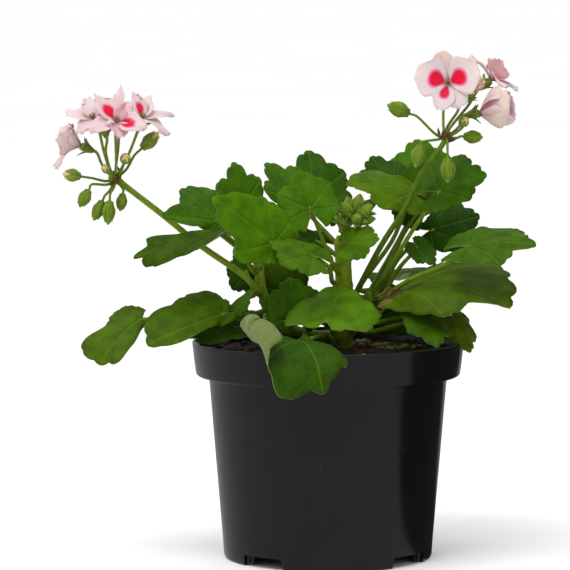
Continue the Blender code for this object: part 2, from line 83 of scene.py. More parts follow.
deselectAll()
bpy.ops.object.camera_add()
camera = bpy.context.active_object
camera.name = "studioCamera"
camera.data.lens = view["lens"]
camera.data.sensor_width = view["sensor"]
camera.data.clip_start = 0.05
aim(camera, view["place"], view["lookAt"])
bpy.context.scene.camera = camera
bpy.context.scene.view_settings.view_transform = "Standard"

lamps = {
    "overheadSoftbox": {
        "place": (-0.35, -0.55, 1.25), "lookAt": (0, 0, 0.12), "size": 0.7, "watts": 8.0,
        "tint": (1.0, 0.99, 0.97),
    },
    "backLeftSoftbox": {
        "place": (-1.1, 0.35, 0.5), "lookAt": (0, 0, 0.1), "size": 0.4, "watts": 0.8, "tint": (1.0, 1.0, 1.0),
    },
}
for name, lamp in lamps.items():
    bpy.ops.object.light_add(type="AREA")
    light = bpy.context.active_object
    light.name = name
    light.data.size = lamp["size"]
    light.data.energy = lamp["watts"]
    light.data.color = lamp["tint"]
    aim(light, lamp["place"], lamp["lookAt"])


def colour(code):  # sRGB hex to linear
    shares = [int(code[k : k + 2], 16) / 255 for k in (1, 3, 5)]
    return (*(c / 12.92 if c <= 0.04045 else ((c + 0.055) / 1.055) ** 2.4 for c in shares), 1.0)


def add(tree, kind, links=None, **settings):  # a node, its settings, and what goes into its sockets
    made = tree.nodes.new("ShaderNode" + kind)
    for key, value in settings.items():
        setattr(made, key, value)
    for key, value in (links or {}).items():
        if isinstance(value, bpy.types.Node):  # its first output that is in use
            value = next(output for output in value.outputs if output.enabled)
        if isinstance(value, bpy.types.NodeSocket):
            tree.links.new(value, made.inputs[key])
        else:
            made.inputs[key].default_value = value
    return made


smooth = {"interpolation_type": "SMOOTHSTEP"}

# White room, brightest overhead.
room = {"walls": 0.4, "ceiling": 1.25}
world = bpy.data.worlds.new("whiteRoom")
bpy.context.scene.world = world
world.use_nodes = True
sky = world.node_tree
sky.nodes.clear()
way = add(sky, "SeparateXYZ", {0: add(sky, "TexCoord").outputs["Generated"]})
dome = add(sky, "MapRange", {0: way.outputs["Z"], 1: 0.1, 2: 0.75, 3: room["walls"], 4: room["ceiling"]})
seen = add(
    sky, "Mix", {0: add(sky, "LightPath").outputs["Is Camera Ray"], 2: dome, 3: 1.0}, data_type="FLOAT",
)
add(sky, "OutputWorld", {0: add(sky, "Background", {0: (1, 1, 1, 1), 1: seen})})

# ---- materials ----


def newMaterial(name):
    material = bpy.data.materials.new(name)
    material.use_nodes = True
    tree = material.node_tree
    tree.nodes.clear()
    return material, tree


def surface(tree, values, normal=None):  # Principled shader and output
    shader = add(tree, "BsdfPrincipled", values)
    if normal:
        tree.links.new(normal.outputs[0], shader.inputs["Normal"])
    add(tree, "OutputMaterial", {0: shader})
    return shader


# Living zonal geranium leaf: soft, faintly velvety, with pale veins fanning from the petiole. Each
# leaf's green lies between dark and bright, partly its own tone and partly painted shade and light.
leafLook = {
    "dark": "#1f4000",
    "bright": "#467200",
    "olive": "#525a08",
    "vein": "#6a8812",
    "under": "#707c44",
    "underVein": "#93a566",
    "lobe": 50.0,
    "sideVeins": 5.5,
    "veinWidth": 0.017,
    "mottle": 7.0,
    "grain": 0.7,
}


def veinMask(tree):  # main veins and side veins from the blade's own turn and share
    place = add(tree, "SeparateXYZ", {0: add(tree, "UVMap", uv_map="UVMap")})
    turn = add(
        tree, "MapRange", {0: place.outputs["X"], 3: -155 / leafLook["lobe"], 4: 155 / leafLook["lobe"]},
    )
    away = add(tree, "Math", {0: turn, 1: 0.5}, operation="PINGPONG")
    spread = add(tree, "Math", {0: away, 1: place.outputs["Y"]}, operation="MULTIPLY")
    main = add(
        tree, "MapRange",
        {0: spread, 1: leafLook["veinWidth"] * 0.35, 2: leafLook["veinWidth"] * 1.3, 3: 1.0, 4: 0.0},
        **smooth,
    )
    bent = add(tree, "Math", {0: away, 1: -0.62, 2: place.outputs["Y"]}, operation="MULTIPLY_ADD")
    rows = add(
        tree, "Math",
        {0: add(tree, "Math", {0: bent, 1: leafLook["sideVeins"]}, operation="MULTIPLY"), 1: 0.5},
        operation="PINGPONG",
    )
    side = add(tree, "MapRange", {0: rows, 1: 0.02, 2: 0.12, 3: 0.25, 4: 0.0}, **smooth)
    side = add(
        tree, "Math", {0: side, 1: add(tree, "MapRange", {0: place.outputs["Y"], 1: 0.3, 2: 0.5}, **smooth)},
        operation="MULTIPLY",
    )
    return add(tree, "Math", {0: main, 1: side}, operation="MAXIMUM")


def leafMaterial(name, under):
    material, tree = newMaterial(name)
    where = add(tree, "TexCoord").outputs["Object"]
    veins = veinMask(tree)
    tint = add(tree, "SeparateColor", {0: add(tree, "Attribute", attribute_name="tint").outputs["Color"]})
    # the tint's first share picks between dark and bright green: partly the leaf's own tone, partly painted
    # shade and light
    green = add(
        tree, "Mix", {0: tint.outputs[0], 6: colour(leafLook["dark"]), 7: colour(leafLook["bright"])},
        data_type="RGBA",
    )
    green = add(tree, "Mix", {0: tint.outputs[1], 6: green, 7: colour(leafLook["olive"])}, data_type="RGBA")
    grains = add(
        tree, "TexNoise",
        {"Vector": where, "Scale": 1000 / leafLook["mottle"], "Detail": 3.0, "Roughness": 0.55},
    )
    patches = add(tree, "MapRange", {0: grains, 1: 0.3, 2: 0.7, 3: 0.74, 4: 1.18}, **smooth)
    green = add(tree, "Mix", {0: 1.0, 6: green, 7: patches}, data_type="RGBA", blend_type="MULTIPLY")
    vein = colour(leafLook["vein"])
    if under:
        green = add(tree, "Mix", {0: 0.72, 6: green, 7: colour(leafLook["under"])}, data_type="RGBA")
        vein = colour(leafLook["underVein"])
    strength = add(tree, "Math", {0: veins, 1: 0.5 if under else 0.26}, operation="MULTIPLY")
    green = add(tree, "Mix", {0: strength, 6: green, 7: vein}, data_type="RGBA")
    grain = add(
        tree, "TexNoise",
        {"Vector": where, "Scale": 1000 / leafLook["grain"], "Detail": 2.0, "Roughness": 0.55},
    )
    relief = add(tree, "Math", {0: veins, 1: 0.9 if under else -0.9, 2: grain}, operation="MULTIPLY_ADD")
    bump = add(tree, "Bump", {"Height": relief, "Strength": 0.35, "Distance": 0.25 * mm})
    rough = add(
        tree, "MapRange", {0: grain, 1: 0.3, 2: 0.7, 3: 0.62 if under else 0.42, 4: 0.8 if under else 0.6},
        **smooth,
    )
    values = {
        "Base Color": green, "Roughness": rough, "IOR": 1.4, "Specular IOR Level": 0.1,
        "Sheen Weight": 0.1 if under else 0.0, "Sheen Roughness": 0.5, "Subsurface Weight": 0.1,
        "Subsurface Radius": (0.35, 1.0, 0.1), "Subsurface Scale": 0.6 * mm,
    }
    surface(tree, values, bump)
    return material


# Green stalks, pedicels and sepals: waxy plant skin with fine lengthwise streaks, fading to khaki or
# red-brown where the tint attribute says, and darkened towards near-black green by its third share,
# which on the right flower stalk is painted shade.
def stalkMaterial(name, green, pale, brown):
    material, tree = newMaterial(name)
    where = add(tree, "TexCoord").outputs["Object"]
    tint = add(tree, "SeparateColor", {0: add(tree, "Attribute", attribute_name="tint").outputs["Color"]})
    skin = add(tree, "Mix", {0: tint.outputs[0], 6: colour(green), 7: colour(pale)}, data_type="RGBA")
    skin = add(tree, "Mix", {0: tint.outputs[1], 6: skin, 7: colour(brown)}, data_type="RGBA")
    grains = add(tree, "TexNoise", {"Vector": where, "Scale": 1000 / 2.5, "Detail": 3.0, "Roughness": 0.55})
    shade = add(tree, "MapRange", {0: grains, 1: 0.3, 2: 0.7, 3: 0.8, 4: 1.12}, **smooth)
    skin = add(tree, "Mix", {0: 1.0, 6: skin, 7: shade}, data_type="RGBA", blend_type="MULTIPLY")
    # third tint share: darkening towards near-black green, painted shade where the right flower stalk uses it
    skin = add(tree, "Mix", {0: tint.outputs[2], 6: skin, 7: (0.004, 0.012, 0.001, 1)}, data_type="RGBA")
    across = add(tree, "SeparateXYZ", {0: add(tree, "UVMap", uv_map="UVMap")})
    streak = add(
        tree, "Math", {0: add(tree, "Math", {0: across.outputs["X"], 1: 57.0}, operation="MULTIPLY")},
        operation="SINE",
    )
    grains = add(tree, "TexNoise", {"Vector": where, "Scale": 1000 / 0.5, "Detail": 2.0, "Roughness": 0.55})
    relief = add(tree, "Math", {0: streak, 1: 0.25, 2: grains}, operation="MULTIPLY_ADD")
    bump = add(tree, "Bump", {"Height": relief, "Strength": 0.3, "Distance": 0.15 * mm})
    values = {
        "Base Color": skin, "Roughness": 0.5, "IOR": 1.42, "Specular IOR Level": 0.14, "Sheen Weight": 0.05,
        "Subsurface Weight": 0.15, "Subsurface Radius": (0.5, 1.0, 0.2), "Subsurface Scale": 0.6 * mm,
    }
    surface(tree, values, bump)
    return material


# Petal: thin and silky, white-pink with a crimson blotch and fine veins.
petalLook = {
    "pale": "#d2c5c5",
    "pink": "#cc95a0",
    "blotch": "#cc0c30",
    "halo": "#d24878",
    "warm": "#cbb090",
    "throat": "#8a5048",
    "blotchAt": 0.35,
    "blotchScale": (4.0, 4.2),
    "veins": 11.0,
}


def petalMaterial():
    material, tree = newMaterial("geraniumPetal")
    where = add(tree, "TexCoord").outputs["Object"]
    place = add(tree, "SeparateXYZ", {0: add(tree, "UVMap", uv_map="UVMap")})
    tint = add(tree, "SeparateColor", {0: add(tree, "Attribute", attribute_name="tint").outputs["Color"]})
    x = add(tree, "Math", {0: place.outputs["X"], 1: -0.5}, operation="ADD")
    y = place.outputs["Y"]
    grains = add(tree, "TexNoise", {"Vector": where, "Scale": 1000 / 1.6, "Detail": 2.0, "Roughness": 0.55})
    wobble = add(tree, "Math", {0: grains, 1: 0.2, 2: -0.1}, operation="MULTIPLY_ADD")
    dx = add(tree, "Math", {0: x, 1: petalLook["blotchScale"][0]}, operation="MULTIPLY")
    dy = add(tree, "Math", {0: y, 1: petalLook["blotchAt"]}, operation="SUBTRACT")
    dy = add(tree, "Math", {0: dy, 1: petalLook["blotchScale"][1]}, operation="MULTIPLY")
    far = add(
        tree, "Math",
        {
            0: add(tree, "Math", {0: dx, 1: 2.0}, operation="POWER"),
            1: add(tree, "Math", {0: dy, 1: 2.0}, operation="POWER"),
        },
        operation="ADD",
    )
    far = add(tree, "Math", {0: far, 1: wobble}, operation="ADD")
    spot = add(
        tree, "Math",
        {0: add(tree, "MapRange", {0: far, 1: 0.55, 2: 1.0, 3: 1.0, 4: 0.0}, **smooth), 1: tint.outputs[0]},
        operation="MULTIPLY",
    )
    halo = add(
        tree, "Math",
        {0: add(tree, "MapRange", {0: far, 1: 0.7, 2: 1.9, 3: 1.0, 4: 0.0}, **smooth), 1: tint.outputs[0]},
        operation="MULTIPLY",
    )
    # veins fan out with the petal's width
    lines = add(
        tree, "Math", {0: add(tree, "Math", {0: x, 1: petalLook["veins"]}, operation="MULTIPLY"), 1: 0.5},
        operation="PINGPONG",
    )
    veins = add(
        tree, "Math",
        {
            0: add(tree, "MapRange", {0: lines, 1: 0.0, 2: 0.16, 3: 0.5, 4: 0.0}, **smooth),
            1: add(tree, "MapRange", {0: y, 1: 0.25, 2: 0.8, 3: 1.0, 4: 0.15}, **smooth),
        },
        operation="MULTIPLY",
    )
    # pink and warm shares: partly the petal's own flush, partly painted shade on shaded petals and petal
    # backs
    base = add(
        tree, "Mix", {0: tint.outputs[1], 6: colour(petalLook["pale"]), 7: colour(petalLook["pink"])},
        data_type="RGBA",
    )
    base = add(tree, "Mix", {0: tint.outputs[2], 6: base, 7: colour(petalLook["warm"])}, data_type="RGBA")
    base = add(tree, "Mix", {0: veins, 6: base, 7: colour(petalLook["pink"])}, data_type="RGBA")
    base = add(
        tree, "Mix",
        {
            0: add(tree, "MapRange", {0: y, 1: 0.02, 2: 0.24, 3: 0.7, 4: 0.0}, **smooth), 6: base,
            7: colour(petalLook["throat"]),
        },
        data_type="RGBA",
    )
    base = add(tree, "Mix", {0: halo, 6: base, 7: colour(petalLook["halo"])}, data_type="RGBA")
    base = add(tree, "Mix", {0: spot, 6: base, 7: colour(petalLook["blotch"])}, data_type="RGBA")
    grains = add(tree, "TexNoise", {"Vector": where, "Scale": 1000 / 0.6, "Detail": 2.0, "Roughness": 0.55})
    relief = add(tree, "Math", {0: lines, 1: 0.8, 2: grains}, operation="MULTIPLY_ADD")
    bump = add(tree, "Bump", {"Height": relief, "Strength": 0.25, "Distance": 0.12 * mm})
    values = {
        "Base Color": base, "Roughness": 0.6, "IOR": 1.35, "Specular IOR Level": 0.3, "Sheen Weight": 0.1,
        "Sheen Roughness": 0.4, "Subsurface Weight": 0.3, "Subsurface Radius": (1.0, 0.5, 0.5),
        "Subsurface Scale": 0.8 * mm,
    }
    surface(tree, values, bump)
    return material


# Dried bract and withered leaf: papery, matt, brown with darker blotches.
def paperyMaterial(name, light, dark, size):
    material, tree = newMaterial(name)
    where = add(tree, "TexCoord").outputs["Object"]
    grains = add(tree, "TexNoise", {"Vector": where, "Scale": 1000 / size, "Detail": 4.0, "Roughness": 0.55})
    patches = add(tree, "MapRange", {0: grains, 1: 0.35, 2: 0.65}, **smooth)
    base = add(tree, "Mix", {0: patches, 6: colour(light), 7: colour(dark)}, data_type="RGBA")
    grains = add(
        tree, "TexNoise", {"Vector": where, "Scale": 1000 / (size * 0.3), "Detail": 3.0, "Roughness": 0.55},
    )
    bump = add(tree, "Bump", {"Height": grains, "Strength": 0.5, "Distance": 0.3 * mm})
    surface(tree, {"Base Color": base, "Roughness": 0.8, "IOR": 1.4}, bump)
    return material


# Black polypropylene, injection moulded: satin, with moulding haze, scuffs and a little dust.
potLook = {"black": "#0b0a0d", "haze": "#111014", "scuff": "#303034", "dust": "#6a6760", "satin": 0.16}


def potMaterial():
    material, tree = newMaterial("mouldedPolypropylene")
    where = add(tree, "TexCoord").outputs["Object"]
    grains = add(tree, "TexNoise", {"Vector": where, "Scale": 1000 / 26.0, "Detail": 4.0, "Roughness": 0.55})
    haze = add(tree, "MapRange", {0: grains, 1: 0.35, 2: 0.7}, **smooth)
    base = add(
        tree, "Mix",
        {
            0: add(tree, "Math", {0: haze, 1: 0.35}, operation="MULTIPLY"), 6: colour(potLook["black"]),
            7: colour(potLook["haze"]),
        },
        data_type="RGBA",
    )
    stretched = add(tree, "Mapping", {0: where, 1: (0, 0, 0), 2: (0.5, 0.2, 0.9), 3: (60, 60, 900)})
    grains = add(tree, "TexNoise", {"Vector": stretched, "Scale": 1.0, "Detail": 4.0, "Roughness": 0.7})
    scratch = add(tree, "MapRange", {0: grains, 1: 0.68, 2: 0.76}, **smooth)
    specks = add(tree, "TexVoronoi", {"Vector": where, "Scale": 1000 / 5.0, "Randomness": 1.0}, feature="F1")
    dust = add(tree, "MapRange", {0: specks, 1: 0.03, 2: 0.07, 3: 1.0, 4: 0.0}, **smooth)
    grains = add(tree, "TexNoise", {"Vector": where, "Scale": 1000 / 12.0, "Detail": 3.0, "Roughness": 0.55})
    rare = add(tree, "MapRange", {0: grains, 1: 0.56, 2: 0.66}, **smooth)
    dust = add(tree, "Math", {0: dust, 1: rare}, operation="MULTIPLY")
    base = add(
        tree, "Mix",
        {
            0: add(tree, "Math", {0: scratch, 1: 0.25}, operation="MULTIPLY"), 6: base,
            7: colour(potLook["scuff"]),
        },
        data_type="RGBA",
    )
    base = add(
        tree, "Mix",
        {0: add(tree, "Math", {0: dust, 1: 0.6}, operation="MULTIPLY"), 6: base, 7: colour(potLook["dust"])},
        data_type="RGBA",
    )
    rough = add(
        tree, "MapRange", {0: haze, 1: 0.0, 2: 1.0, 3: potLook["satin"], 4: potLook["satin"] + 0.08},
        **smooth,
    )
    rough = add(tree, "Math", {0: scratch, 1: 0.25, 2: rough}, operation="MULTIPLY_ADD")
    grain = add(tree, "TexNoise", {"Vector": where, "Scale": 1000 / 0.8, "Detail": 2.0, "Roughness": 0.55})
    bump = add(tree, "Bump", {"Height": grain, "Strength": 0.08, "Distance": 0.1 * mm})
    surface(tree, {"Base Color": base, "Roughness": rough, "IOR": 1.49, "Specular IOR Level": 0.5}, bump)
    return material


# Peat compost: crumbly, nearly black when damp, with brown fibre and paler crumbs.
def soilMaterial():
    material, tree = newMaterial("peatCompost")
    where = add(tree, "TexCoord").outputs["Object"]
    grains = add(tree, "TexNoise", {"Vector": where, "Scale": 1000 / 1.6, "Detail": 5.0, "Roughness": 0.7})
    crumbs = add(tree, "MapRange", {0: grains, 1: 0.35, 2: 0.7}, **smooth)
    base = add(tree, "Mix", {0: crumbs, 6: colour("#140e08"), 7: colour("#3b2a1a")}, data_type="RGBA")
    flecks = add(
        tree, "MapRange",
        {0: add(tree, "TexVoronoi", {"Vector": where, "Scale": 1000 / 3.0}), 1: 0.1, 2: 0.2, 3: 0.35, 4: 0.0},
        **smooth,
    )
    base = add(tree, "Mix", {0: flecks, 6: base, 7: colour("#6b5232")}, data_type="RGBA")
    grains = add(tree, "TexNoise", {"Vector": where, "Scale": 1000 / 0.9, "Detail": 4.0, "Roughness": 0.55})
    bump = add(tree, "Bump", {"Height": grains, "Strength": 0.8, "Distance": 0.6 * mm})
    surface(tree, {"Base Color": base, "Roughness": 0.92, "IOR": 1.4}, bump)
    return material


def mossMaterial():  # low moss: bright yellow-green, matt and fuzzy
    material, tree = newMaterial("soilMoss")
    where = add(tree, "TexCoord").outputs["Object"]
    grains = add(tree, "TexNoise", {"Vector": where, "Scale": 1000 / 0.9, "Detail": 4.0, "Roughness": 0.55})
    tufts = add(tree, "MapRange", {0: grains, 1: 0.35, 2: 0.65}, **smooth)
    base = add(tree, "Mix", {0: tufts, 6: colour("#4c5c12"), 7: colour("#98a428")}, data_type="RGBA")
    bump = add(tree, "Bump", {"Height": tufts, "Strength": 0.9, "Distance": 0.5 * mm})
    surface(tree, {"Base Color": base, "Roughness": 0.9, "IOR": 1.4, "Sheen Weight": 0.3}, bump)
    return material


def floorMaterial():  # painted studio board: plain, pale and matt
    material, tree = newMaterial("paintedStudioBoard")
    where = add(tree, "TexCoord").outputs["Object"]
    grains = add(tree, "TexNoise", {"Vector": where, "Scale": 1000 / 400.0, "Detail": 3.0, "Roughness": 0.55})
    shade = add(tree, "MapRange", {0: grains, 1: 0.3, 2: 0.7, 3: 0.0, 4: 1.0}, **smooth)
    base = add(tree, "Mix", {0: shade, 6: colour("#fbfbfb"), 7: colour("#f8f8f8")}, data_type="RGBA")
    surface(tree, {"Base Color": base, "Roughness": 0.9, "IOR": 1.4})
    return material


leafTop = leafMaterial("geraniumLeafTop", False)
leafUnder = leafMaterial("geraniumLeafUnderside", True)
stalkSkin = stalkMaterial("geraniumStalk", "#5c7c12", "#8ca01e", "#5e3416")
budSkin = stalkMaterial("geraniumBudSepal", "#5f7f14", "#d2c07c", "#70402a")
petalSkin = petalMaterial()
bractSkin = paperyMaterial("driedBract", "#70562a", "#4e2c18", 1.2)
witheredSkin = paperyMaterial("witheredLeaf", "#6c7018", "#523c12", 3.0)
potPlastic = potMaterial()
compost = soilMaterial()
moss = mossMaterial()
print("materials made")

bpy.ops.mesh.primitive_plane_add(size=160)
floor = bpy.context.active_object
floor.name = "studioFloor"
floor.data.materials.append(floorMaterial())

# Glowing cards that only show as reflections, painted reflections on the pot: dim grey ones and a
# black one on the right, lying on the floor round the pot and then standing up. turns are degrees from
# the front, towards the right.
cards = {
    "greyFrontCard": {"turns": (-180, 69.5), "glow": 0.44},
    "blackRightCard": {"turns": (69.5, 146), "glow": 0.03},
    "greyBackCard": {"turns": (146, 180), "glow": 0.3},
}
cardProfile = [(0.045, 0.0006), (0.33, 0.0006), (0.36, 0.03), (0.36, 0.6)]  # reach and height


def glowingCardMaterial(name, glow):  # glowing card, no lamp: its even glow paints the reflections on the pot
    material, tree = newMaterial(name)
    add(tree, "OutputMaterial", {0: add(tree, "Emission", {0: (1, 1, 1, 1), 1: glow})})
    return material


for name, card in cards.items():
    deselectAll()
    bpy.ops.mesh.primitive_grid_add(x_subdivisions=32, y_subdivisions=len(cardProfile) - 1, size=2)
    board = bpy.context.active_object
    board.name = name
    for vert in board.data.vertices:
        turn = math.radians(np.interp(vert.co.x, (-1, 1), card["turns"]))
        reach, height = cardProfile[round((vert.co.y + 1) / 2 * (len(cardProfile) - 1))]
        vert.co = (reach * math.sin(turn), -reach * math.cos(turn), height)
    board.data.materials.append(glowingCardMaterial(name, card["glow"]))
    board.visible_camera = board.visible_diffuse = board.visible_shadow = board.visible_transmission = False

# ---- shaping ----


def shapedGrid(name, columns, rows, place, materials, thickness=0.0):
    # Grid primitive bent to shape. place(s, t) gives a point in mm for shares 0 to 1 along each side.
    deselectAll()
    bpy.ops.mesh.primitive_grid_add(x_subdivisions=columns, y_subdivisions=rows, size=2)
    piece = bpy.context.active_object
    piece.name = piece.data.name = name
    for vert in piece.data.vertices:
        vert.co = Vector(place((vert.co.x + 1) / 2, (vert.co.y + 1) / 2)) * mm
    bpy.ops.object.mode_set(mode="EDIT")
    bpy.ops.mesh.select_all(action="SELECT")
    bpy.ops.mesh.remove_doubles(threshold=0.002 * mm)
    if not thickness:
        bpy.ops.mesh.normals_make_consistent(inside=False)
    bpy.ops.object.mode_set(mode="OBJECT")
    for material in materials:
        piece.data.materials.append(material)
    if thickness:
        skin = piece.modifiers.new("thickness", "SOLIDIFY")
        skin.thickness = thickness * mm
        skin.offset = -1
        skin.material_offset = skin.material_offset_rim = len(materials) - 1
        bpy.ops.object.modifier_apply(modifier=skin.name)
    bpy.ops.object.shade_smooth()
    return piece


def setTint(piece, tint):  # tint is one colour, or gives one for a point in mm
    layer = piece.data.attributes.new("tint", "FLOAT_COLOR", "POINT")
    for vert, value in zip(piece.data.vertices, layer.data):
        value.color = (*(tint(vert.co / mm) if callable(tint) else tint), 1.0)
    return piece


def tube(name, path, radii, around, material, flutes=None):
    # Closed tube along the path, with a radius for each point. flutes gives each ring's five-fold ridge.
    path = [Vector(p) for p in path]
    side = None
    rings = []
    for k, middle in enumerate(path):
        way = (path[min(k + 1, len(path) - 1)] - path[max(k - 1, 0)]).normalized()
        if side is None:
            side = way.orthogonal()
        side = (side - way * side.dot(way)).normalized()
        rings.append((middle, side, way.cross(side), radii[k], flutes[k] if flutes else 0.0))
    rows = len(path) + 1

    def place(s, t):
        row = round(t * rows)
        middle, across, over, radius, ridge = rings[min(max(row - 1, 0), len(path) - 1)]
        if row in (0, rows):
            return middle
        turn = 2 * math.pi * s
        radius *= 1 + ridge * math.cos(5 * turn)
        return middle + (across * math.cos(turn) + over * math.sin(turn)) * radius

    return shapedGrid(name, around, rows, place, [material])


def join(name, pieces):
    deselectAll()
    for piece in pieces:
        piece.select_set(True)
    bpy.context.view_layer.objects.active = pieces[0]
    if len(pieces) > 1:
        bpy.ops.object.join()
    whole = bpy.context.active_object
    whole.name = whole.data.name = name
    return whole


def hand(piece, slot, *nodes):  # rides on the plant's one body and stands for these CAD nodes
    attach(piece, "root")
    if nodes:
        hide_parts(*nodes)


def smoothPath(points, count):
    pts = [np.array(p, float) for p in points]
    pts = [2 * pts[0] - pts[1]] + pts + [2 * pts[-1] - pts[-2]]
    spans = len(pts) - 3
    out = []
    for k in range(count):
        t = k * spans / (count - 1)
        i = min(int(t), spans - 1)
        t -= i
        a, b, c, d = pts[i : i + 4]
        out.append(
            0.5
            * (
                2 * b
                + (c - a) * t
                + (2 * a - 5 * b + 4 * c - d) * t * t
                + (3 * b - a - 3 * c + d) * t**3
            )
        )
    return np.array(out)


# how far the margin reaches in this direction, as a share of the middle lobe
def leafReach(turn, leaf, lobe=50.0):
    if "outline" in leaf:
        turns, shares = zip(*leaf["outline"])
        return sum(np.interp(math.degrees(turn) + step, turns, shares) for step in (-6, -3, 0, 3, 6)) / 5
    base = 1 - leaf["back"] * (abs(turn) / math.radians(150)) ** 1.3
    return base * (1 - leaf["notch"] * (1 - abs(math.cos(math.pi * turn / math.radians(lobe)))))


def bladeFrame(leaf):
    joint = np.array(leaf["joint"], float)
    chord = np.array(leaf["tip"], float) - joint
    length = np.linalg.norm(chord)
    along = chord / length
    up = np.array(leaf["up"], float)
    up = up - along * np.dot(up, along)
    up /= np.linalg.norm(up)
    return joint, length, along, np.cross(up, along), up


def bladePoint(leaf, frame, u, v):
    joint, chord, along, across, up = frame
    bend = math.radians(leaf["bend"]) or 0.001
    length = chord * (bend / 2) / math.sin(bend / 2)
    wide = leaf["wide"][0] if v > 0 else leaf["wide"][1]
    turn = math.atan2(v / wide, u)
    reach = length * leafReach(turn, leaf)
    edge = min(math.hypot(u, v / wide) / reach, 1.3)
    k = bend / length
    x = (math.sin(bend / 2) - math.sin(bend / 2 - k * u)) / k
    z = (math.cos(bend / 2 - k * u) - math.cos(bend / 2)) / k
    slope = bend / 2 - k * u
    if u < 0 and "heel" in leaf:  # behind the petiole the blade stays straight
        slope = math.radians(leaf["heel"])
        x, z = u * math.cos(slope), u * math.sin(slope)
    half = 0.85 * wide * length
    curl = math.radians(leaf["curl"][0] if v > 0 else leaf["curl"][1]) or 0.001
    flat = half * leaf["roll"]
    c = curl / (half - flat)
    rolled = max(abs(v) - flat, 0)
    side = math.copysign(min(abs(v), flat) + math.sin(c * rolled) / c, v)
    lift = -(1 - math.cos(c * rolled)) / c
    lift += leaf["ripple"] * length * edge**3 * math.cos(3 * turn + leaf["phase"])
    normal = up * math.cos(slope) - along * math.sin(slope)
    return joint + along * x + up * z + across * side + normal * lift

# ---- pot ----

pot = {
    "height": 96.0,
    "rimRadius": 60.0,
    "rimBand": 15.0,
    "bodyTop": 52.5,
    "bodyBottom": 46.2,
    "wall": 1.5,
    "floorUnder": 4.2,
    "floorTop": 5.8,
    "drainWidth": 22.0,
    "drainHeight": 4.9,
    "drainTurn": 51.0,
    "around": 160,
}


def lathe(name, profile, around, material, wobble=0.0):
    # Closed profile turned about Z: columns go round, rows follow the profile.
    rows = len(profile) - 1

    def place(s, t):
        radius, height = profile[round(t * rows)]
        turn = 2 * math.pi * s
        radius *= 1 + wobble * math.cos(2 * turn + 0.6)
        return (radius * math.cos(turn), radius * math.sin(turn), height)

    return shapedGrid(name, around, rows, place, [material])


def makePot():
    low = pot["height"] - pot["rimBand"]
    rim, body, foot, wall = pot["rimRadius"], pot["bodyTop"], pot["bodyBottom"], pot["wall"]
    outer = [
        (rim - wall + 0.15, pot["height"] - 0.35), (rim - wall + 0.45, pot["height"] - 0.05),
        (rim - 0.5, pot["height"]),
        (rim - 0.15, pot["height"] - 0.2), (rim, pot["height"] - 0.6), (rim - 0.12, pot["height"] - 2.0),
        (rim - 0.9, low + 6.0), (rim - 1.55, low + 1.4), (rim - 1.75, low + 0.6), (rim - 2.2, low + 0.15),
        (rim - 2.8, low),
        (body + 1.3, low - 0.1), (body + 0.5, low - 0.45), (body + 0.1, low - 1.3), (body - 0.35, low - 6.0),
        (body * 0.5 + foot * 0.5 + 0.1, 42.0), (foot + 0.45, 9.0), (foot + 0.05, 3.2), (foot - 0.1, 1.3),
        (foot - 0.5, 0.35), (foot - 1.2, 0.0),
        (foot - 2.9, 0.0), (foot - 3.2, 0.4), (foot - 3.4, pot["floorUnder"]), (9.6, pot["floorUnder"]),
        (9.0, pot["floorUnder"] - 0.4), (9.0, 0.4), (8.6, 0.0), (0.0, 0.0),
    ]
    inner = [
        (0.0, pot["floorTop"]), (foot - wall - 1.0, pot["floorTop"]), (foot - wall, pot["floorTop"] + 1.0),
        (body - wall, low - 1.0), (rim - 3.4 - wall, low + 1.2), (rim - 1.6 - wall, low + 2.4),
        (rim - wall, pot["height"] - 0.9),
    ]
    shell = lathe("nurseryPotShell", inner + outer, pot["around"], potPlastic)
    for k in range(4):  # drain slots through the foot ring
        turn = math.radians(pot["drainTurn"] + 90 * k - 90)
        reach = pot["bodyBottom"] + 0.5
        deselectAll()
        bpy.ops.mesh.primitive_cube_add(
            size=1,
            location=Vector((reach * math.cos(turn), reach * math.sin(turn), pot["drainHeight"] - 5)) * mm,
            rotation=(0, 0, turn),
        )
        slot = bpy.context.active_object
        slot.scale = Vector((9.0, pot["drainWidth"], 10.0)) * mm
        bpy.ops.object.transform_apply(location=True, rotation=True, scale=True)
        bpy.ops.object.mode_set(mode="EDIT")
        bpy.ops.mesh.select_all(action="SELECT")
        bpy.ops.mesh.bevel(offset=1.0 * mm, segments=3, affect="EDGES")
        bpy.ops.object.mode_set(mode="OBJECT")
        cut = shell.modifiers.new("drain", "BOOLEAN")
        cut.operation = "DIFFERENCE"
        cut.solver = "EXACT"
        cut.object = slot
        deselectAll()
        bpy.context.view_layer.objects.active = shell
        shell.select_set(True)
        bpy.ops.object.modifier_apply(modifier=cut.name)
        bpy.data.objects.remove(slot)
    bpy.ops.object.shade_smooth_by_angle(angle=math.radians(35))
    hand(shell, "pot_plastic", "nursery_pot")


makePot()
print("pot turned")

# ---- compost ----

soil = {
    "level": 91.5, "radius": 57.9, "rows": 26, "around": 96, "crumbs": 220,
    "moss": [(15, 22, 6), (22, 13, 5), (29, 0, 6), (35, 6, 4), (5, 27, 5), (18, -34, 6), (-22, 30, 6)],
}


def soilHeight(x, y):
    far = math.hypot(x, y)
    crown = 1.0 - 1.6 * (far / soil["radius"]) ** 2
    lumps = 1.1 * noise.noise(Vector((x, y, 3)) / 7) + 0.7 * noise.noise(
        Vector((x, y, 9)) / 2.6
    ) + 0.35 * noise.noise(Vector((x, y, 5)) / 1.2)
    return soil["level"] + crown + lumps


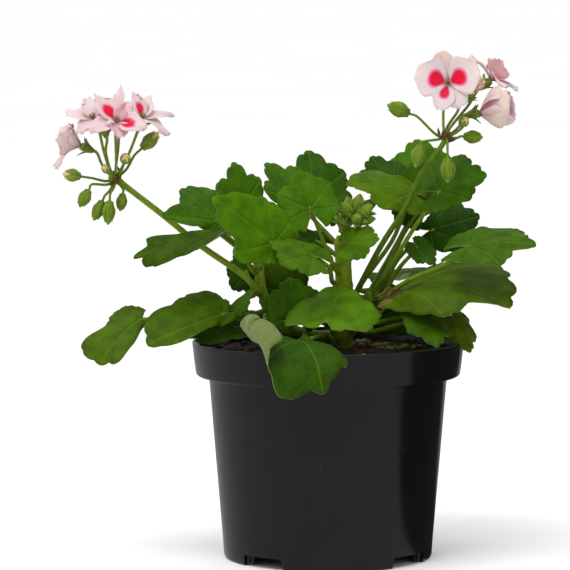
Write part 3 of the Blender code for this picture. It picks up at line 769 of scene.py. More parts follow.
def makeSoil():
    def place(s, t):  # disc from the centre out, then down the wall and back under
        turn = 2 * math.pi * s
        row = round(t * (soil["rows"] + 5))
        if row <= soil["rows"]:
            reach = soil["radius"] * row / soil["rows"]
            x, y = reach * math.cos(turn), reach * math.sin(turn)
            return (x, y, soilHeight(x, y) if row else soilHeight(0, 0))
        reach, height = [
            (57.6, 86.0), (54.6, 82.6), (50.5, 79.8), (44.2, 6.4), (0.0, 6.4),
        ][row - soil["rows"] - 1]
        return (reach * math.cos(turn), reach * math.sin(turn), height)

    bed = shapedGrid("compostBed", soil["around"], soil["rows"] + 5, place, [compost])
    hand(bed, "soil", "potting_soil")

    def crumb(x, y, z, size, material):
        deselectAll()
        bpy.ops.mesh.primitive_ico_sphere_add(subdivisions=1, radius=size * mm)
        grain = bpy.context.active_object
        seed = random.uniform(0, 50)
        stretch = Vector((random.uniform(0.7, 1.4), random.uniform(0.7, 1.3), random.uniform(0.5, 0.9)))
        for vert in grain.data.vertices:
            rough = 1 + 0.5 * noise.noise(vert.co / mm + Vector((seed, 0, 0)))
            vert.co = Vector([c * s * rough for c, s in zip(vert.co, stretch)]) + Vector((x, y, z)) * mm
        grain.data.materials.append(material)
        return grain

    grains = []
    for k in range(soil["crumbs"]):
        reach, turn = soil["radius"] * math.sqrt(random.random()) * 0.97, random.uniform(0, 2 * math.pi)
        x, y = reach * math.cos(turn), reach * math.sin(turn)
        grains.append(crumb(x, y, soilHeight(x, y) + 0.2, random.uniform(0.5, 1.5), compost))
    first = join("compostCrumbs", grains)
    bpy.ops.object.shade_smooth()
    hand(first, "soil")

    tufts = []
    for x0, y0, size in soil["moss"]:  # low cushions of moss, each a bunch of small lumps
        for k in range(12):
            x, y = x0 + random.gauss(0, size * 0.45), y0 + random.gauss(0, size * 0.35)
            if math.hypot(x, y) < soil["radius"] - 2:
                tufts.append(crumb(x, y, soilHeight(x, y) + 0.3, random.uniform(0.9, 1.9), moss))
    hand(join("soilMoss", tufts), "soil")

    twigs = []
    for k in range(9):  # bits of fibre and old stalk lying on top
        x, y, turn = random.uniform(-34, 40), random.uniform(-48, 10), random.uniform(0, math.pi)
        length = random.uniform(7, 15)
        points = []
        for share in (-0.5, -0.15, 0.2, 0.5):
            px, py = x + length * share * math.cos(turn), y + length * share * math.sin(turn)
            if math.hypot(px, py) > soil["radius"] - 2:
                continue
            points.append((px, py, soilHeight(px, py) + 0.9 + random.uniform(0, 0.6)))
        if len(points) > 2:
            twigs.append(tube("twig", points, [0.35, 0.45, 0.4, 0.3][: len(points)], 6, bractSkin))
    hand(join("compostFibre", twigs), "soil")


makeSoil()
print("compost filled")

# ---- leaves ----

plain = {
    "wide": (1.0, 1.0), "bend": 30, "curl": (20, 20), "roll": 0.0, "ripple": 0.05, "phase": 0.0,
    "notch": 0.13, "back": 0.4, "via": [],
}

leaves = {
    "leaf_far_left": {
        "root": (-31, -2, 103.5), "via": [(-54, -8, 110)], "joint": (-82, -12, 107), "tip": (-99, -26, 88),
        "up": (-0.35, -0.8, 0.4), "wide": (1.0, 1.0), "bend": 50, "curl": (20, 30),
        "outline": [
            (-160, 0.36), (-142, 0.3), (-120, 0.3), (-84, 0.48), (-60, 0.5), (-42, 0.56), (-34, 1.0),
            (-24, 1.06), (0, 1.0), (14, 0.98), (24, 0.75), (32, 0.32), (48, 0.16), (160, 0.12),
        ],
    },
    "leaf_left_low": {
        "root": (-31.5, -3.5, 108.5), "joint": (-45.5, -15, 109.5), "tip": (-79, -27, 96),
        "up": (0.05, -0.8, 0.6), "wide": (0.85, 0.85), "bend": 25, "curl": (40, 15),
        "outline": [
            (-160, 0.1), (-110, 0.2), (-88, 0.42), (-70, 0.55), (-52, 0.62), (-40, 0.66), (-30, 0.9),
            (-10, 0.97), (0, 1.0), (8, 0.98), (14, 0.7), (24, 0.32), (45, 0.18), (100, 0.15), (160, 0.1),
        ],
    },
    "leaf_over_rim_left": {
        "root": (-26, 3.5, 98), "joint": (-40, -7, 103), "tip": (-66, -14, 98), "up": (-0.1, -0.5, 0.85),
        "wide": (0.42, 0.9), "bend": 15, "curl": (10, 10),
    },
    "leaf_over_rim_front": {
        "root": (2, -6, 96), "via": [(-2, -24, 101)], "joint": (-13, -47, 101), "tip": (-3.5, -71, 79.5),
        "up": (0.25, -0.75, 0.6), "heel": 30, "wide": (0.95, 0.95), "bend": 95, "curl": (15, -150),
        "roll": 0.57,
        "outline": [
            (-160, 0.55), (-150, 0.25), (-140, 0.36), (-118, 0.72), (-90, 0.98), (-70, 1.12), (-56, 1.0),
            (-48, 0.88), (-38, 1.0), (-28, 1.15), (-20, 1.12), (-11, 0.9), (-3, 0.98), (5, 0.97), (13, 0.78),
            (20, 0.78), (30, 0.8), (37, 0.7), (46, 0.4), (60, 0.18), (160, 0.1),
        ],
    },
    "leaf_front_middle": {
        "root": (10, -2, 101), "joint": (-1, -34, 108.5), "tip": (6, -8, 119.5), "up": (-0.1, -0.6, 0.8),
        "wide": (1.15, 1.15), "bend": 15, "curl": (35, 25), "back": 0.75,
    },
    "leaf_centre_dark": {
        "root": (1, 0, 102), "joint": (-14, -11, 108), "tip": (-17, -5, 124), "up": (0.1, -0.9, 0.4),
        "wide": (1.0, 1.0), "bend": 20, "curl": (10, 10), "back": 0.45,
    },
    "leaf_upper_left": {
        "root": (-31, -3.5, 128), "via": [(-27, -16, 134)], "joint": (-24, -25, 141), "tip": (-47, -34, 159),
        "up": (-0.1, -0.85, 0.5), "wide": (0.9, 0.95), "bend": 15, "curl": (15, 20),
        "outline": [
            (-160, 0.35), (-125, 0.5), (-100, 0.46), (-74, 0.58), (-58, 0.66), (-46, 0.72), (-32, 0.74),
            (-18, 0.95), (-8, 1.0), (0, 1.2), (8, 1.1), (13, 0.88), (19, 1.02), (26, 0.7), (36, 0.62),
            (48, 0.7), (64, 0.66), (83, 0.42), (120, 0.3), (160, 0.2),
        ],
    },
    "leaf_behind_left": {
        "root": (-30, 4, 134), "joint": (-38, 4, 154), "tip": (-42, 10, 174), "up": (0.05, -0.85, 0.5),
        "wide": (0.65, 0.75), "bend": 10, "curl": (15, 15), "notch": 0.2,
    },
    "leaf_left_round": {
        "root": (-34, 0, 132), "joint": (-48.8, -12, 149.5), "tip": (-74, -18, 151), "up": (-0.1, -0.8, 0.6),
        "wide": (1.0, 1.05), "bend": 30, "curl": (25, 25),
        "outline": [
            (-160, 0.4), (-125, 0.5), (-108, 0.62), (-90, 0.76), (-70, 0.86), (-53, 0.9), (-42, 0.82),
            (-30, 0.68), (-16, 0.74), (-8, 0.92), (0, 1.0), (8, 0.8), (20, 0.42), (40, 0.28), (160, 0.2),
        ],
    },
    "leaf_left_edge_on": {
        "root": (-33, -3.5, 127), "via": [(-38, -13, 136)], "joint": (-47, -19, 146),
        "tip": (-86.5, -27, 131.5), "up": (-0.15, -0.45, 0.88), "wide": (0.3, 0.3), "bend": 28,
        "curl": (25, 10), "ripple": 0.09, "phase": 1.2,
        "outline": [
            (-160, 0.2), (-125, 0.35), (-100, 0.5), (-70, 0.55), (-48, 0.8), (-28, 0.86), (-12, 0.72),
            (0, 1.0), (10, 0.86), (20, 0.96), (32, 0.86), (44, 0.7), (60, 0.74), (80, 0.6), (110, 0.4),
            (160, 0.2),
        ],
    },
    "leaf_back_top_left": {
        "root": (4, 9, 138), "joint": (-14, 14, 157), "tip": (-28, 24, 172), "up": (0, -0.8, 0.6),
        "wide": (0.5, 0.8), "bend": 15, "curl": (15, 15), "notch": 0.2,
    },
    "leaf_back_top": {
        "root": (7, 9, 142), "via": [(3, 16, 150)], "joint": (-5.5, 20, 157), "tip": (-8.5, 34, 177.5),
        "up": (0, -0.85, 0.5), "wide": (0.85, 0.9), "bend": 15, "curl": (20, 20), "notch": 0.17,
    },
    "leaf_centre_top": {
        "root": (3, -1, 128), "joint": (-8, -14, 155), "tip": (-13, -8, 171), "up": (0, -0.9, 0.45),
        "wide": (1.0, 1.0), "bend": 10, "curl": (15, 15),
    },
    "leaf_centre_grazing": {
        "root": (2, -2, 122), "via": [(0, -18, 130)], "joint": (-7, -33, 136.5), "tip": (-25.5, -29.5, 141),
        "up": (0, -0.45, 0.9), "wide": (0.85, 0.8), "bend": 30, "curl": (20, 25),
    },
    "leaf_right_back_cup": {
        "root": (10, 9, 140), "via": [(20, 20, 154)], "joint": (30, 30, 163), "tip": (20, 44, 175),
        "up": (0.1, -0.75, 0.6), "wide": (0.9, 0.7), "bend": -20, "curl": (-15, -15), "back": 0.5,
    },
    "leaf_right_front_cup": {
        "root": (14.5, 8, 119.5), "via": [(29, 11, 140)], "joint": (38, 12, 160.5), "tip": (8, 0, 164),
        "up": (-0.1, -0.6, 0.78), "wide": (0.6, 0.75), "bend": 40, "curl": (30, 30), "back": 0.6,
    },
    "leaf_right_high_back": {
        "root": (19, 12, 117), "via": [(36, 28, 146)], "joint": (44, 40, 165), "tip": (41, 52, 182),
        "up": (0.05, -0.85, 0.5), "wide": (0.95, 0.95), "bend": 15, "curl": (15, 15),
    },
    "leaf_right_round": {
        "root": (22, 5, 119), "via": [(37, -5, 145)], "joint": (48, -8, 162.5), "tip": (69, -14, 169.5),
        "up": (0.1, -0.8, 0.6), "wide": (1.0, 0.55), "bend": 20, "curl": (20, 20),
    },
    "leaf_right_dark": {
        "root": (23, 9, 116), "via": [(32, 12, 132)], "joint": (46, 14, 144), "tip": (68, 20, 149),
        "up": (0.05, -0.8, 0.55), "wide": (0.85, 0.75), "bend": 20, "curl": (25, 20),
        "outline": [
            (-160, 0.35), (-120, 0.4), (-90, 0.62), (-60, 0.85), (-42, 0.84), (-25, 0.8), (-10, 0.95),
            (4, 1.0), (18, 0.92), (26, 0.9), (40, 0.98), (56, 0.92), (66, 0.7), (76, 0.4), (100, 0.25),
            (160, 0.2),
        ],
    },
    "leaf_far_right": {
        "root": (21.5, 0.5, 112), "via": [(34, -12, 123), (50, -25, 131.5)], "joint": (60, -30, 140.5),
        "tip": (90, -39, 139.5), "up": (0.0, -0.45, 0.9), "wide": (0.86, 0.62), "bend": 35, "curl": (15, 25),
        "outline": [
            (-160, 0.4), (-140, 0.5), (-110, 0.55), (-80, 0.6), (-55, 0.85), (-38, 0.88), (-22, 0.72),
            (-10, 0.92), (0, 1.0), (8, 0.86), (20, 0.8), (34, 0.86), (48, 0.86), (62, 0.7), (84, 0.7),
            (104, 0.6), (125, 0.5), (145, 0.56), (160, 0.5),
        ],
    },
    "leaf_right_large": {
        "root": (20, 4, 108), "joint": (33, -10, 119), "tip": (77, -32, 112.5), "up": (0.1, -0.5, 0.86),
        "wide": (1.08, 0.5), "bend": 62, "curl": (25, 30),
        "outline": [
            (-160, 0.2), (-130, 0.3), (-100, 0.5), (-75, 0.6), (-58, 0.85), (-40, 0.86), (-27, 0.75),
            (-15, 0.88), (-5, 0.98), (5, 1.03), (14, 1.0), (24, 0.93), (36, 0.95), (50, 0.92), (62, 0.84),
            (84, 0.82), (110, 0.62), (160, 0.2),
        ],
    },
    "leaf_over_rim_right": {
        "root": (18, -1, 103), "via": [(27, -7, 106)], "joint": (40, -17, 110.5), "tip": (46, -36, 96),
        "up": (0.3, -0.8, 0.5), "wide": (0.7, 0.6), "bend": 30, "curl": (20, 20), "back": 0.7,
    },
    "leaf_low_right": {
        "root": (18, 5, 99), "via": [(38, 2, 104)], "joint": (55, -5, 107), "tip": (61.5, -16, 92),
        "up": (0.45, -0.75, 0.3), "wide": (0.62, 0.72), "bend": 35, "curl": (20, 20), "back": 0.6,
    },
    "leaf_small_young": {
        "root": (10.5, 1, 134), "joint": (9.5, -10, 140), "tip": (22, -16, 142), "up": (0, -0.75, 0.65),
        "wide": (0.9, 0.9), "bend": 15, "curl": (15, 15),
    },
    "leaf_hanging_right": {
        "root": (22.5, 6.5, 112), "via": [(31, 4, 127)], "joint": (39, 3, 138), "tip": (47, -4, 129.5),
        "up": (0.1, -0.9, 0.5), "wide": (0.6, 0.6), "bend": 20, "curl": (15, 15), "back": 0.6,
    },
    "leaf_narrow_left": {
        "root": (-33, -4, 116.5), "joint": (-43.4, -9, 108.8), "tip": (-31.5, -15, 120),
        "up": (-0.7, -0.5, 0.5), "wide": (0.5, 0.45), "bend": 10, "curl": (25, 25), "back": 0.8,
    },
    "leaf_left_shade": {
        "root": (-33.5, 2.5, 121), "joint": (-35.5, 6, 127.5), "tip": (-42, 10, 117.5),
        "up": (-0.1, -0.9, 0.4), "wide": (1.0, 1.0), "bend": 20, "curl": (15, 15),
    },
    "leaf_back_low_left": {
        "root": (-27, 5, 102), "via": [(-26, 24, 104)], "joint": (-28, 42, 104), "tip": (-50, 70, 92),
        "up": (-0.2, 0.45, 0.87), "wide": (0.7, 0.7), "bend": 40, "curl": (20, 20), "back": 0.6,
    },
    "leaf_back_low_middle": {
        "root": (9, 10, 100), "via": [(8, 30, 112)], "joint": (8, 48, 112), "tip": (10, 82, 99),
        "up": (0.05, 0.5, 0.85), "wide": (0.9, 0.9), "bend": 45, "curl": (20, 20),
    },
    "leaf_back_right": {
        "root": (19, 12.5, 112), "via": [(30, 30, 122)], "joint": (40, 44, 124), "tip": (62, 72, 114),
        "up": (0.3, 0.4, 0.87), "wide": (0.9, 0.9), "bend": 40, "curl": (20, 20),
    },
    "leaf_back_left": {
        "root": (-30, 4, 129), "via": [(-30, 26, 140)], "joint": (-33, 42, 144), "tip": (-51, 66, 148),
        "up": (-0.15, 0.1, 0.98), "wide": (0.8, 0.8), "bend": 35, "curl": (20, 20), "back": 0.6,
    },
}
leaves = {name: {**plain, **leaf} for name, leaf in leaves.items()}

# Colour of each leaf: brightness of the green, which is partly the leaf's own tone and partly painted
# shade and light (dark green for leaves in shade, bright for lit ones), and share of olive.
leafToneAndPaintedShade = {
    "leaf_far_left": (0.55, 0.3), "leaf_left_low": (0.48, 0.25), "leaf_over_rim_left": (0.1, 0.0),
    "leaf_over_rim_front": (0.12, 0.05),
    "leaf_front_middle": (1.15, 0.15), "leaf_centre_dark": (0.4, 0.0), "leaf_upper_left": (0.85, 0.0),
    "leaf_behind_left": (0.55, 0.0),
    "leaf_left_round": (0.4, 0.0), "leaf_left_edge_on": (0.15, 0.2), "leaf_back_top_left": (0.5, 0.0),
    "leaf_back_top": (0.2, 0.0),
    "leaf_centre_top": (0.62, 0.0), "leaf_centre_grazing": (0.5, 0.15), "leaf_right_back_cup": (0.1, 0.0),
    "leaf_right_front_cup": (0.85, 0.3),
    "leaf_right_high_back": (0.6, 0.0), "leaf_right_round": (0.42, 0.0), "leaf_right_dark": (0.0, 0.0),
    "leaf_far_right": (0.42, 0.12),
    "leaf_right_large": (0.45, 0.35), "leaf_over_rim_right": (0.25, 0.1), "leaf_low_right": (0.7, 0.65),
    "leaf_small_young": (0.78, 0.15),
    "leaf_hanging_right": (0.2, 0.0), "leaf_narrow_left": (0.7, 0.1), "leaf_left_shade": (0.2, 0.0),
    "leaf_back_low_left": (0.5, 0.1),
    "leaf_back_low_middle": (0.6, 0.0), "leaf_back_right": (0.5, 0.0), "leaf_back_left": (0.6, 0.0),
    "shadeLeafRight": (0.15, 0.1), "shadeLeafMiddle": (0.55, 0.15), "shadeLeafHigh": (0.1, 0.0),
    "shadeLeafBack": (0.3, 0.0),
}
leafMake = {
    "columns": 124, "rows": 14, "spread": 155, "tooth": 50 / 3, "toothDepth": 0.05, "thickness": 0.45,
    "veinDepth": 0.32, "quilt": 0.22, "around": 10,
}


def toothed(turn, leaf):  # rounded teeth, three to a lobe, a little uneven
    bent = turn + math.radians(1.2) * math.sin(3 * turn + leaf["phase"])
    scallop = 1 - abs(math.cos(math.pi * bent / math.radians(leafMake["tooth"])))
    return 1 - leafMake["toothDepth"] * scallop**1.5 * (1 + 0.4 * math.sin(5 * turn + leaf["phase"]))


def veinRelief(turn, share):  # grooves along the veins and soft quilting between them
    lobe = math.degrees(turn) / leafLook["lobe"]
    away = abs(lobe - round(lobe))
    main = math.exp(-((away * share / 0.03) ** 2))
    rows = (share - 0.62 * away) * leafLook["sideVeins"]
    side = abs(math.sin(math.pi * rows)) if share > 0.25 else 0.5
    return -leafMake["veinDepth"] * main * (
        1 - 0.6 * share
    ) + leafMake["quilt"] * side * (1 - main) * min(share * 2, 1)


stems = {
    "main": {
        "points": [(7, 5, 84), (7, 5, 100), (7, 5, 120), (6.5, 5, 142)], "radii": (4.4, 3.4), "count": 34,
        "around": 24,
    },
    "left": {
        "points": [(6, 5, 97), (-8, 3.5, 98), (-22, 1.5, 104), (-29, 0.5, 117), (-31, 0, 135)],
        "radii": (2.7, 2.1), "count": 34, "around": 18,
    },
    "right": {
        "points": [(8, 5, 98), (14, 6, 104), (18, 7.5, 113), (19, 8, 117)], "radii": (3.0, 2.4), "count": 18,
        "around": 18,
    },
}
stemAxes = np.concatenate([smoothPath(stem["points"], stem["count"]) for stem in stems.values()])


def fromStem(root):  # the point inside the stem that a stalk grows from, a little below its root
    root = np.array(root, float)
    return min(stemAxes, key=lambda p: np.linalg.norm(p + (0, 0, 1.5) - root))


def makeLeaf(name, leaf, *nodes):
    frame = bladeFrame(leaf)
    bend = math.radians(leaf["bend"])
    length = frame[1] * (bend / 2) / math.sin(bend / 2)
    seed = sum(map(ord, name)) % 40

    def place(s, t):
        turn = math.radians(leafMake["spread"] * (1 - 2 * s))
        reach = length * leafReach(turn, leaf) * (
            1 if t < 0.9 else toothed(turn, leaf) if t > 0.99 else (1 + toothed(turn, leaf)) / 2
        ) * t
        wide = leaf["wide"][0] if turn > 0 else leaf["wide"][1]
        u, v = reach * math.cos(turn), wide * reach * math.sin(turn)
        lift = veinRelief(turn, t) + 0.9 * t * noise.noise(
            Vector((u, v, seed * 3)) / 9
        ) + 0.012 * length * t**4 * math.sin(9 * turn + seed)
        return bladePoint(leaf, frame, u, v) + frame[4] * lift

    blade = shapedGrid(
        name + "_blade", leafMake["columns"], leafMake["rows"], place, [leafTop, leafUnder],
        leafMake["thickness"],
    )
    setTint(blade, (*leafToneAndPaintedShade[name], 0.0))
    end = frame[0] + frame[4] * -0.3 + frame[2] * 1.5
    path = smoothPath([fromStem(leaf["root"]), leaf["root"]] + leaf["via"] + [end], 18)
    stalk = tube(name + "_petiole", path, np.linspace(1.3, 0.8, 18), leafMake["around"], stalkSkin)
    setTint(stalk, (0.2, 0.0, 0.12))
    hand(blade, "leaf", *nodes)
    hand(stalk, "stem")


for name, leaf in leaves.items():
    makeLeaf(name, leaf, name)

# Small leaves low among the stems, which no CAD leaf stands for.
shadeLeaves = {
    "shadeLeafRight": {
        "root": (20, 5, 103), "via": [(24, 12, 108)], "joint": (27, 17, 111), "tip": (36, 14, 97),
        "up": (0.1, -0.85, 0.5),
    },
    "shadeLeafMiddle": {
        "root": (2, 6, 103), "via": [(-10, 12, 112)], "joint": (-19, 15, 117), "tip": (-28, 14, 131),
        "up": (-0.1, -0.85, 0.5),
    },
    "shadeLeafHigh": {
        "root": (6.5, 6, 130), "via": [(0, 11, 136)], "joint": (-4, 13, 139), "tip": (-23, 14, 142),
        "up": (0.0, -0.6, 0.8), "wide": (0.6, 0.6),
    },
    "shadeLeafBack": {
        "root": (22, 6, 117), "via": [(33, 18, 140)], "joint": (44, 24, 154), "tip": (38, 27, 173),
        "up": (0.1, -0.85, 0.4),
    },
}
for name, leaf in shadeLeaves.items():
    makeLeaf(name, {**plain, **leaf})
print("leaves made:", len(leafToneAndPaintedShade))
# pale and dark shares of each flower stalk: the left stalk's paler green is partly painted light, the right
# stalk's darkening is painted shade
hubs = {
    "left": {
        "centre": (-93, -10, 168), "pale": 0.35, "dark": 0.0, "girth": (1.55, 1.3),
        "path": [(-32, -3.5, 119), (-37, -3, 125), (-56, -2, 138), (-73, -4, 152), (-93, -10, 168)],
    },
    "right": {
        "centre": (51, -12, 186), "pale": 0.1, "dark": 0.4, "girth": (1.35, 1.15),
        "path": [
            (10.5, 3.5, 113), (14.5, 1, 121), (24, -4, 139.5), (33, -9, 154), (40.5, -12, 170),
            (49, -13, 182), (51, -12, 186),
        ],
    },
}
buds = {
    "left_bud_outer": {
        "hub": "left", "start": (-97.4, -10.5, 167), "via": (-103, -12.5, 168.4), "tip": (-116, -15, 170.5),
        "girth": 2.7, "length": 8.5,
    },
    "left_bud_low_outer": {
        "hub": "left", "start": (-96.5, -12.5, 165.6), "via": (-103, -16, 166), "tip": (-108.5, -17, 156),
        "girth": 2.6, "length": 9,
    },
    "left_bud_hanging_outer": {
        "hub": "left", "start": (-95.2, -13.6, 163.4), "via": (-97.5, -14.5, 161), "tip": (-102.5, -15, 150),
        "girth": 2.6, "length": 10,
    },
    "left_bud_hanging_middle": {
        "hub": "left", "start": (-93.5, -14.5, 164.8), "via": (-95, -18.5, 162), "tip": (-96, -20, 148.5),
        "girth": 2.7,
    },
    "left_bud_hanging_inner": {
        "hub": "left", "start": (-89.9, -12.5, 164), "via": (-89.5, -13.5, 163), "tip": (-91, -14, 154),
        "girth": 2.3,
    },
    "left_bud_facing_low": {
        "hub": "left", "start": (-93.8, -14.6, 169.6), "via": (-95.5, -18, 172), "tip": (-97.5, -25, 174),
        "girth": 1.9,
    },
    "left_bud_facing_high": {
        "hub": "left", "start": (-90.6, -13.6, 171.2), "via": (-89, -17, 175.5), "tip": (-87.5, -25, 179),
        "girth": 2.2,
    },
    "left_bud_upper_right": {
        "hub": "left", "start": (-88.3, -9.3, 172.2), "via": (-85, -9, 178), "tip": (-74, -9, 188.5),
        "girth": 2.9,
    },
    "right_bud_outer": {
        "hub": "right", "start": (46.6, -11.2, 187.6), "via": (39, -11.5, 195), "tip": (25.5, -13, 200.5),
        "girth": 3.2,
    },
    "right_bud_drooping": {
        "hub": "right", "start": (46.6, -13.2, 185.2), "via": (40.5, -16, 184.5), "tip": (37.5, -18.5, 173.5),
        "girth": 3.0,
    },
    "right_bud_hanging": {
        "hub": "right", "start": (51.5, -16.6, 185), "via": (51.5, -20.5, 181.5), "tip": (51.5, -22.5, 167),
        "girth": 3.2,
    },
    "right_bud_short": {
        "hub": "right", "start": (55.6, -13.5, 186), "via": (57.5, -15, 186.8), "tip": (67, -18, 186.5),
        "girth": 2.7,
    },
    "right_bud_young": {
        "hub": "right", "start": (54.8, -13, 189), "via": (57, -16, 191.5), "tip": (60, -21, 195),
        "girth": 2.2,
    },
}
florets = {
    "left_floret_outer": {
        "hub": "left", "start": (-97, -8.5, 171), "via": (-99.5, -8.5, 175), "centre": (-108, -10, 182.5),
        "face": (-0.85, -0.2, 0.4), "up": (0, 0, 1),
    },
    "left_floret_upper_left": {
        "hub": "left", "start": (-95.4, -12.6, 172), "via": (-98, -12.5, 180), "centre": (-102, -16, 194),
        "face": (-0.3, -0.55, 0.8), "up": (0, 0.3, 1),
    },
    "left_floret_top": {
        "hub": "left", "start": (-93, -9, 172.9), "via": (-92, -6, 182), "centre": (-92, -5, 196),
        "face": (0, -0.2, 1), "up": (0, 1, 0.1),
    },
    "left_floret_front": {
        "hub": "left", "start": (-92.6, -13.6, 172.4), "via": (-92.6, -15, 180), "centre": (-92, -22, 193),
        "face": (0.1, -0.8, 0.6), "up": (0, 0, 1),
    },
    "left_floret_right": {
        "hub": "left", "start": (-90, -11, 173.4), "via": (-86.5, -12, 180.5), "centre": (-81.5, -15, 194),
        "face": (0.3, -0.5, 0.85), "up": (0, 0.3, 1),
    },
    "left_floret_back": {
        "hub": "left", "start": (-95.6, -5.8, 171.8), "via": (-98, 3, 179), "centre": (-99, 9, 190),
        "face": (-0.2, 0.6, 0.75), "up": (0, 1, 0),
    },
    "right_floret_large": {
        "hub": "right", "start": (50, -15, 190.2), "via": (50, -17, 200), "centre": (51.5, -22, 210),
        "face": (-0.12, -0.98, 0.12), "up": (0.05, 0, 1),
    },
    "right_floret_upper": {
        "hub": "right", "start": (53.2, -11.5, 190.6), "via": (61, -9, 200), "centre": (70.5, -7, 211),
        "face": (0.75, 0.05, 0.65), "up": (-0.6, 0, 0.8),
    },
    "right_floret_lower": {
        "hub": "right", "start": (55.9, -14, 188.6), "via": (59, -13.5, 192), "centre": (65.5, -14, 197),
        "face": (0.93, -0.25, 0.2), "up": (0, 0, 1),
    },
    "right_floret_closed": {
        "hub": "right", "start": (51.8, -8, 190.3), "via": (56, -11, 197), "centre": (62, -12, 205.5),
        "face": (0.65, -0.15, 0.75), "up": (1, 0, 0),
    },
}

# ---- stems ----


def makeStems():
    limbs = []
    for name, stem in stems.items():
        count = stem["count"]
        path = smoothPath(stem["points"], count)
        radii = np.linspace(*stem["radii"], count)
        for k in range(count):  # nodes swell a little, the tip rounds off
            radii[k] *= 1 + 0.12 * math.exp(-(((k % 9) - 4) ** 2) / 1.5) + 0.03 * math.sin(k * 2.1)
        radii[-1] *= 0.75
        limb = tube(name, path, radii, stem["around"], stalkSkin)
        limbs.append(
            setTint(
                limb,
                lambda p: (min(max((p.z - 108) / 14, 0.1), 0.6), min(max((101 - p.z) / 20, 0), 0.6), 0.0),
            )
        )
    hand(join("leafyStem", limbs), "stem", "main_stem")


makeStems()


def flake(name, base, way, up, length, width, material, tint, fold=20, columns=6, rows=8, thickness=0.25):
    # Small pointed scale or sepal: lifts from its base along way, hollow towards up.
    way = Vector(way).normalized()
    up = Vector(up)
    up = (up - way * up.dot(way)).normalized()
    side = way.cross(up)
    base = Vector(base)
    bend = math.radians(fold)

    def place(s, t):
        across = (s - 0.5) * 2
        half = width / 2 * math.sin(math.pi * min(t * 0.86 + 0.14, 1)) ** 0.8
        run = length * t
        return base + way * run * math.cos(bend * t) + up * (
            run * math.sin(bend * t) + 0.35 * half * across**2
        ) - side * half * across

    return setTint(shapedGrid(name, columns, rows, place, [material], thickness), tint)


stipuleLeaves = (
    "leaf_upper_left", "leaf_left_round", "leaf_narrow_left", "leaf_right_dark", "leaf_small_young",
    "leaf_centre_top",
    "leaf_centre_dark", "leaf_right_large", "leaf_far_right",
)


def makeStipules():  # papery scales where the petioles leave the stem
    scales = []
    for name in stipuleLeaves:
        root = Vector(leaves[name]["root"])
        out = (Vector(leaves[name]["joint"]) - root).normalized()
        for turn in (-0.6, 0.6):
            way = (out + Vector((0.3 * turn, -0.4, 0.9))).normalized()
            scales.append(
                flake(
                    "stipule", root - out * 0.6 + Vector((turn, -0.4, -0.5)), way, (0, -1, 0), 6.0, 3.6,
                    stalkSkin, (0.5, 0.15, 0.0),
                )
            )
    hand(join("stipules", scales), "stem")


makeStipules()


# Withered leaf curled among the stems at the right.
withered = {
    "middle": (25, -14, 116), "reach": 6.8, "spread": 140,
    "stalk": [(20, 3, 108), (22, -6, 110), (25, -13, 115)],
}


def makeWithered():
    middle = Vector(withered["middle"])

    def place(s, t):
        turn = math.radians(withered["spread"] * (2 * s - 1))
        reach = withered["reach"] * t
        x, y = reach * math.cos(turn), reach * math.sin(turn)
        curl = 0.09 * y * y - 0.03 * x * x
        crease = 1.3 * t * math.sin(5 * turn) + 1.2 * noise.noise(Vector((x, y, 4)) / 3)
        return middle + Vector(
            (x * 0.95 + 0.2 * curl, -curl * 0.55 + crease * 0.5, y * 0.6 + 0.35 * x + crease * 0.6)
        )

    sheet = shapedGrid("witheredLeaf", 48, 9, place, [witheredSkin], 0.35)
    stalk = tube("witheredStalk", smoothPath(withered["stalk"], 8), [0.9] * 8, 8, bractSkin)
    hand(join("witheredLeaf", [sheet, stalk]), "leaf")


makeWithered()
print("stems made")

# ---- flower heads ----


headMake = {
    "points": 30, "swelling": [1.4, 1.9, 2.4, 2.5, 1.6], "ahead": (0.8, 2.0, 3.0), "bracts": 7,
    "bractWidth": 2.6,
}


def makeHead(side, hub):
    path = [Vector(p) for p in smoothPath([fromStem(hub["path"][0])] + hub["path"], headMake["points"])]
    way = (path[-1] - path[-2]).normalized()
    tip = path[-1]
    path += [tip + way * step for step in headMake["ahead"]]
    radii = list(np.linspace(*hub["girth"], headMake["points"] - 2)) + headMake["swelling"]

    def tint(p):  # browner by the hub; paler by the pale share, partly painted light on the left stalk; darker away from the hub by the dark share, painted shade on the right stalk
        away = (p - tip).length
        return (hub["pale"], 0.35 * max(1 - away / 6, 0), hub["dark"] * min(away / 30, 1))

    stalk = setTint(tube("stalk", path, radii, 16, stalkSkin), tint)
    scales = []
    out = way.orthogonal().normalized()
    for k in range(headMake["bracts"]):  # in a ring under the pedicels
        around = Matrix.Rotation(k * 2 * math.pi / headMake["bracts"], 3, way) @ out
        foot, lean, size = tip + around * 2.2 - way * 1.4, around * 0.8 + way * 0.45, 4.2 + 1.2 * math.sin(
            2.3 * k
        )
        scales.append(flake("bract", foot, lean, way, size, headMake["bractWidth"], bractSkin, (0, 0, 0), 25))
    hand(join(side + "FlowerStalk", [stalk] + scales), "stem", side + "_flower_stalk")


for side, hub in hubs.items():
    makeHead(side, hub)

# How far the pale petal tip shows from each bud, and how brown it is.
budTints = {
    "left_bud_outer": (0.9, 0.1), "left_bud_low_outer": (0.1, 0.0), "left_bud_hanging_outer": (0.1, 0.1),
    "left_bud_hanging_middle": (0.1, 0.0),
    "left_bud_hanging_inner": (0.1, 0.0), "left_bud_facing_low": (1.0, 0.0),
    "left_bud_facing_high": (1.0, 0.1), "left_bud_upper_right": (0.9, 0.0),
    "right_bud_outer": (0.15, 0.0), "right_bud_drooping": (0.3, 0.0), "right_bud_hanging": (0.25, 0.0),
    "right_bud_short": (0.0, 0.0), "right_bud_young": (1.0, 0.1),
}


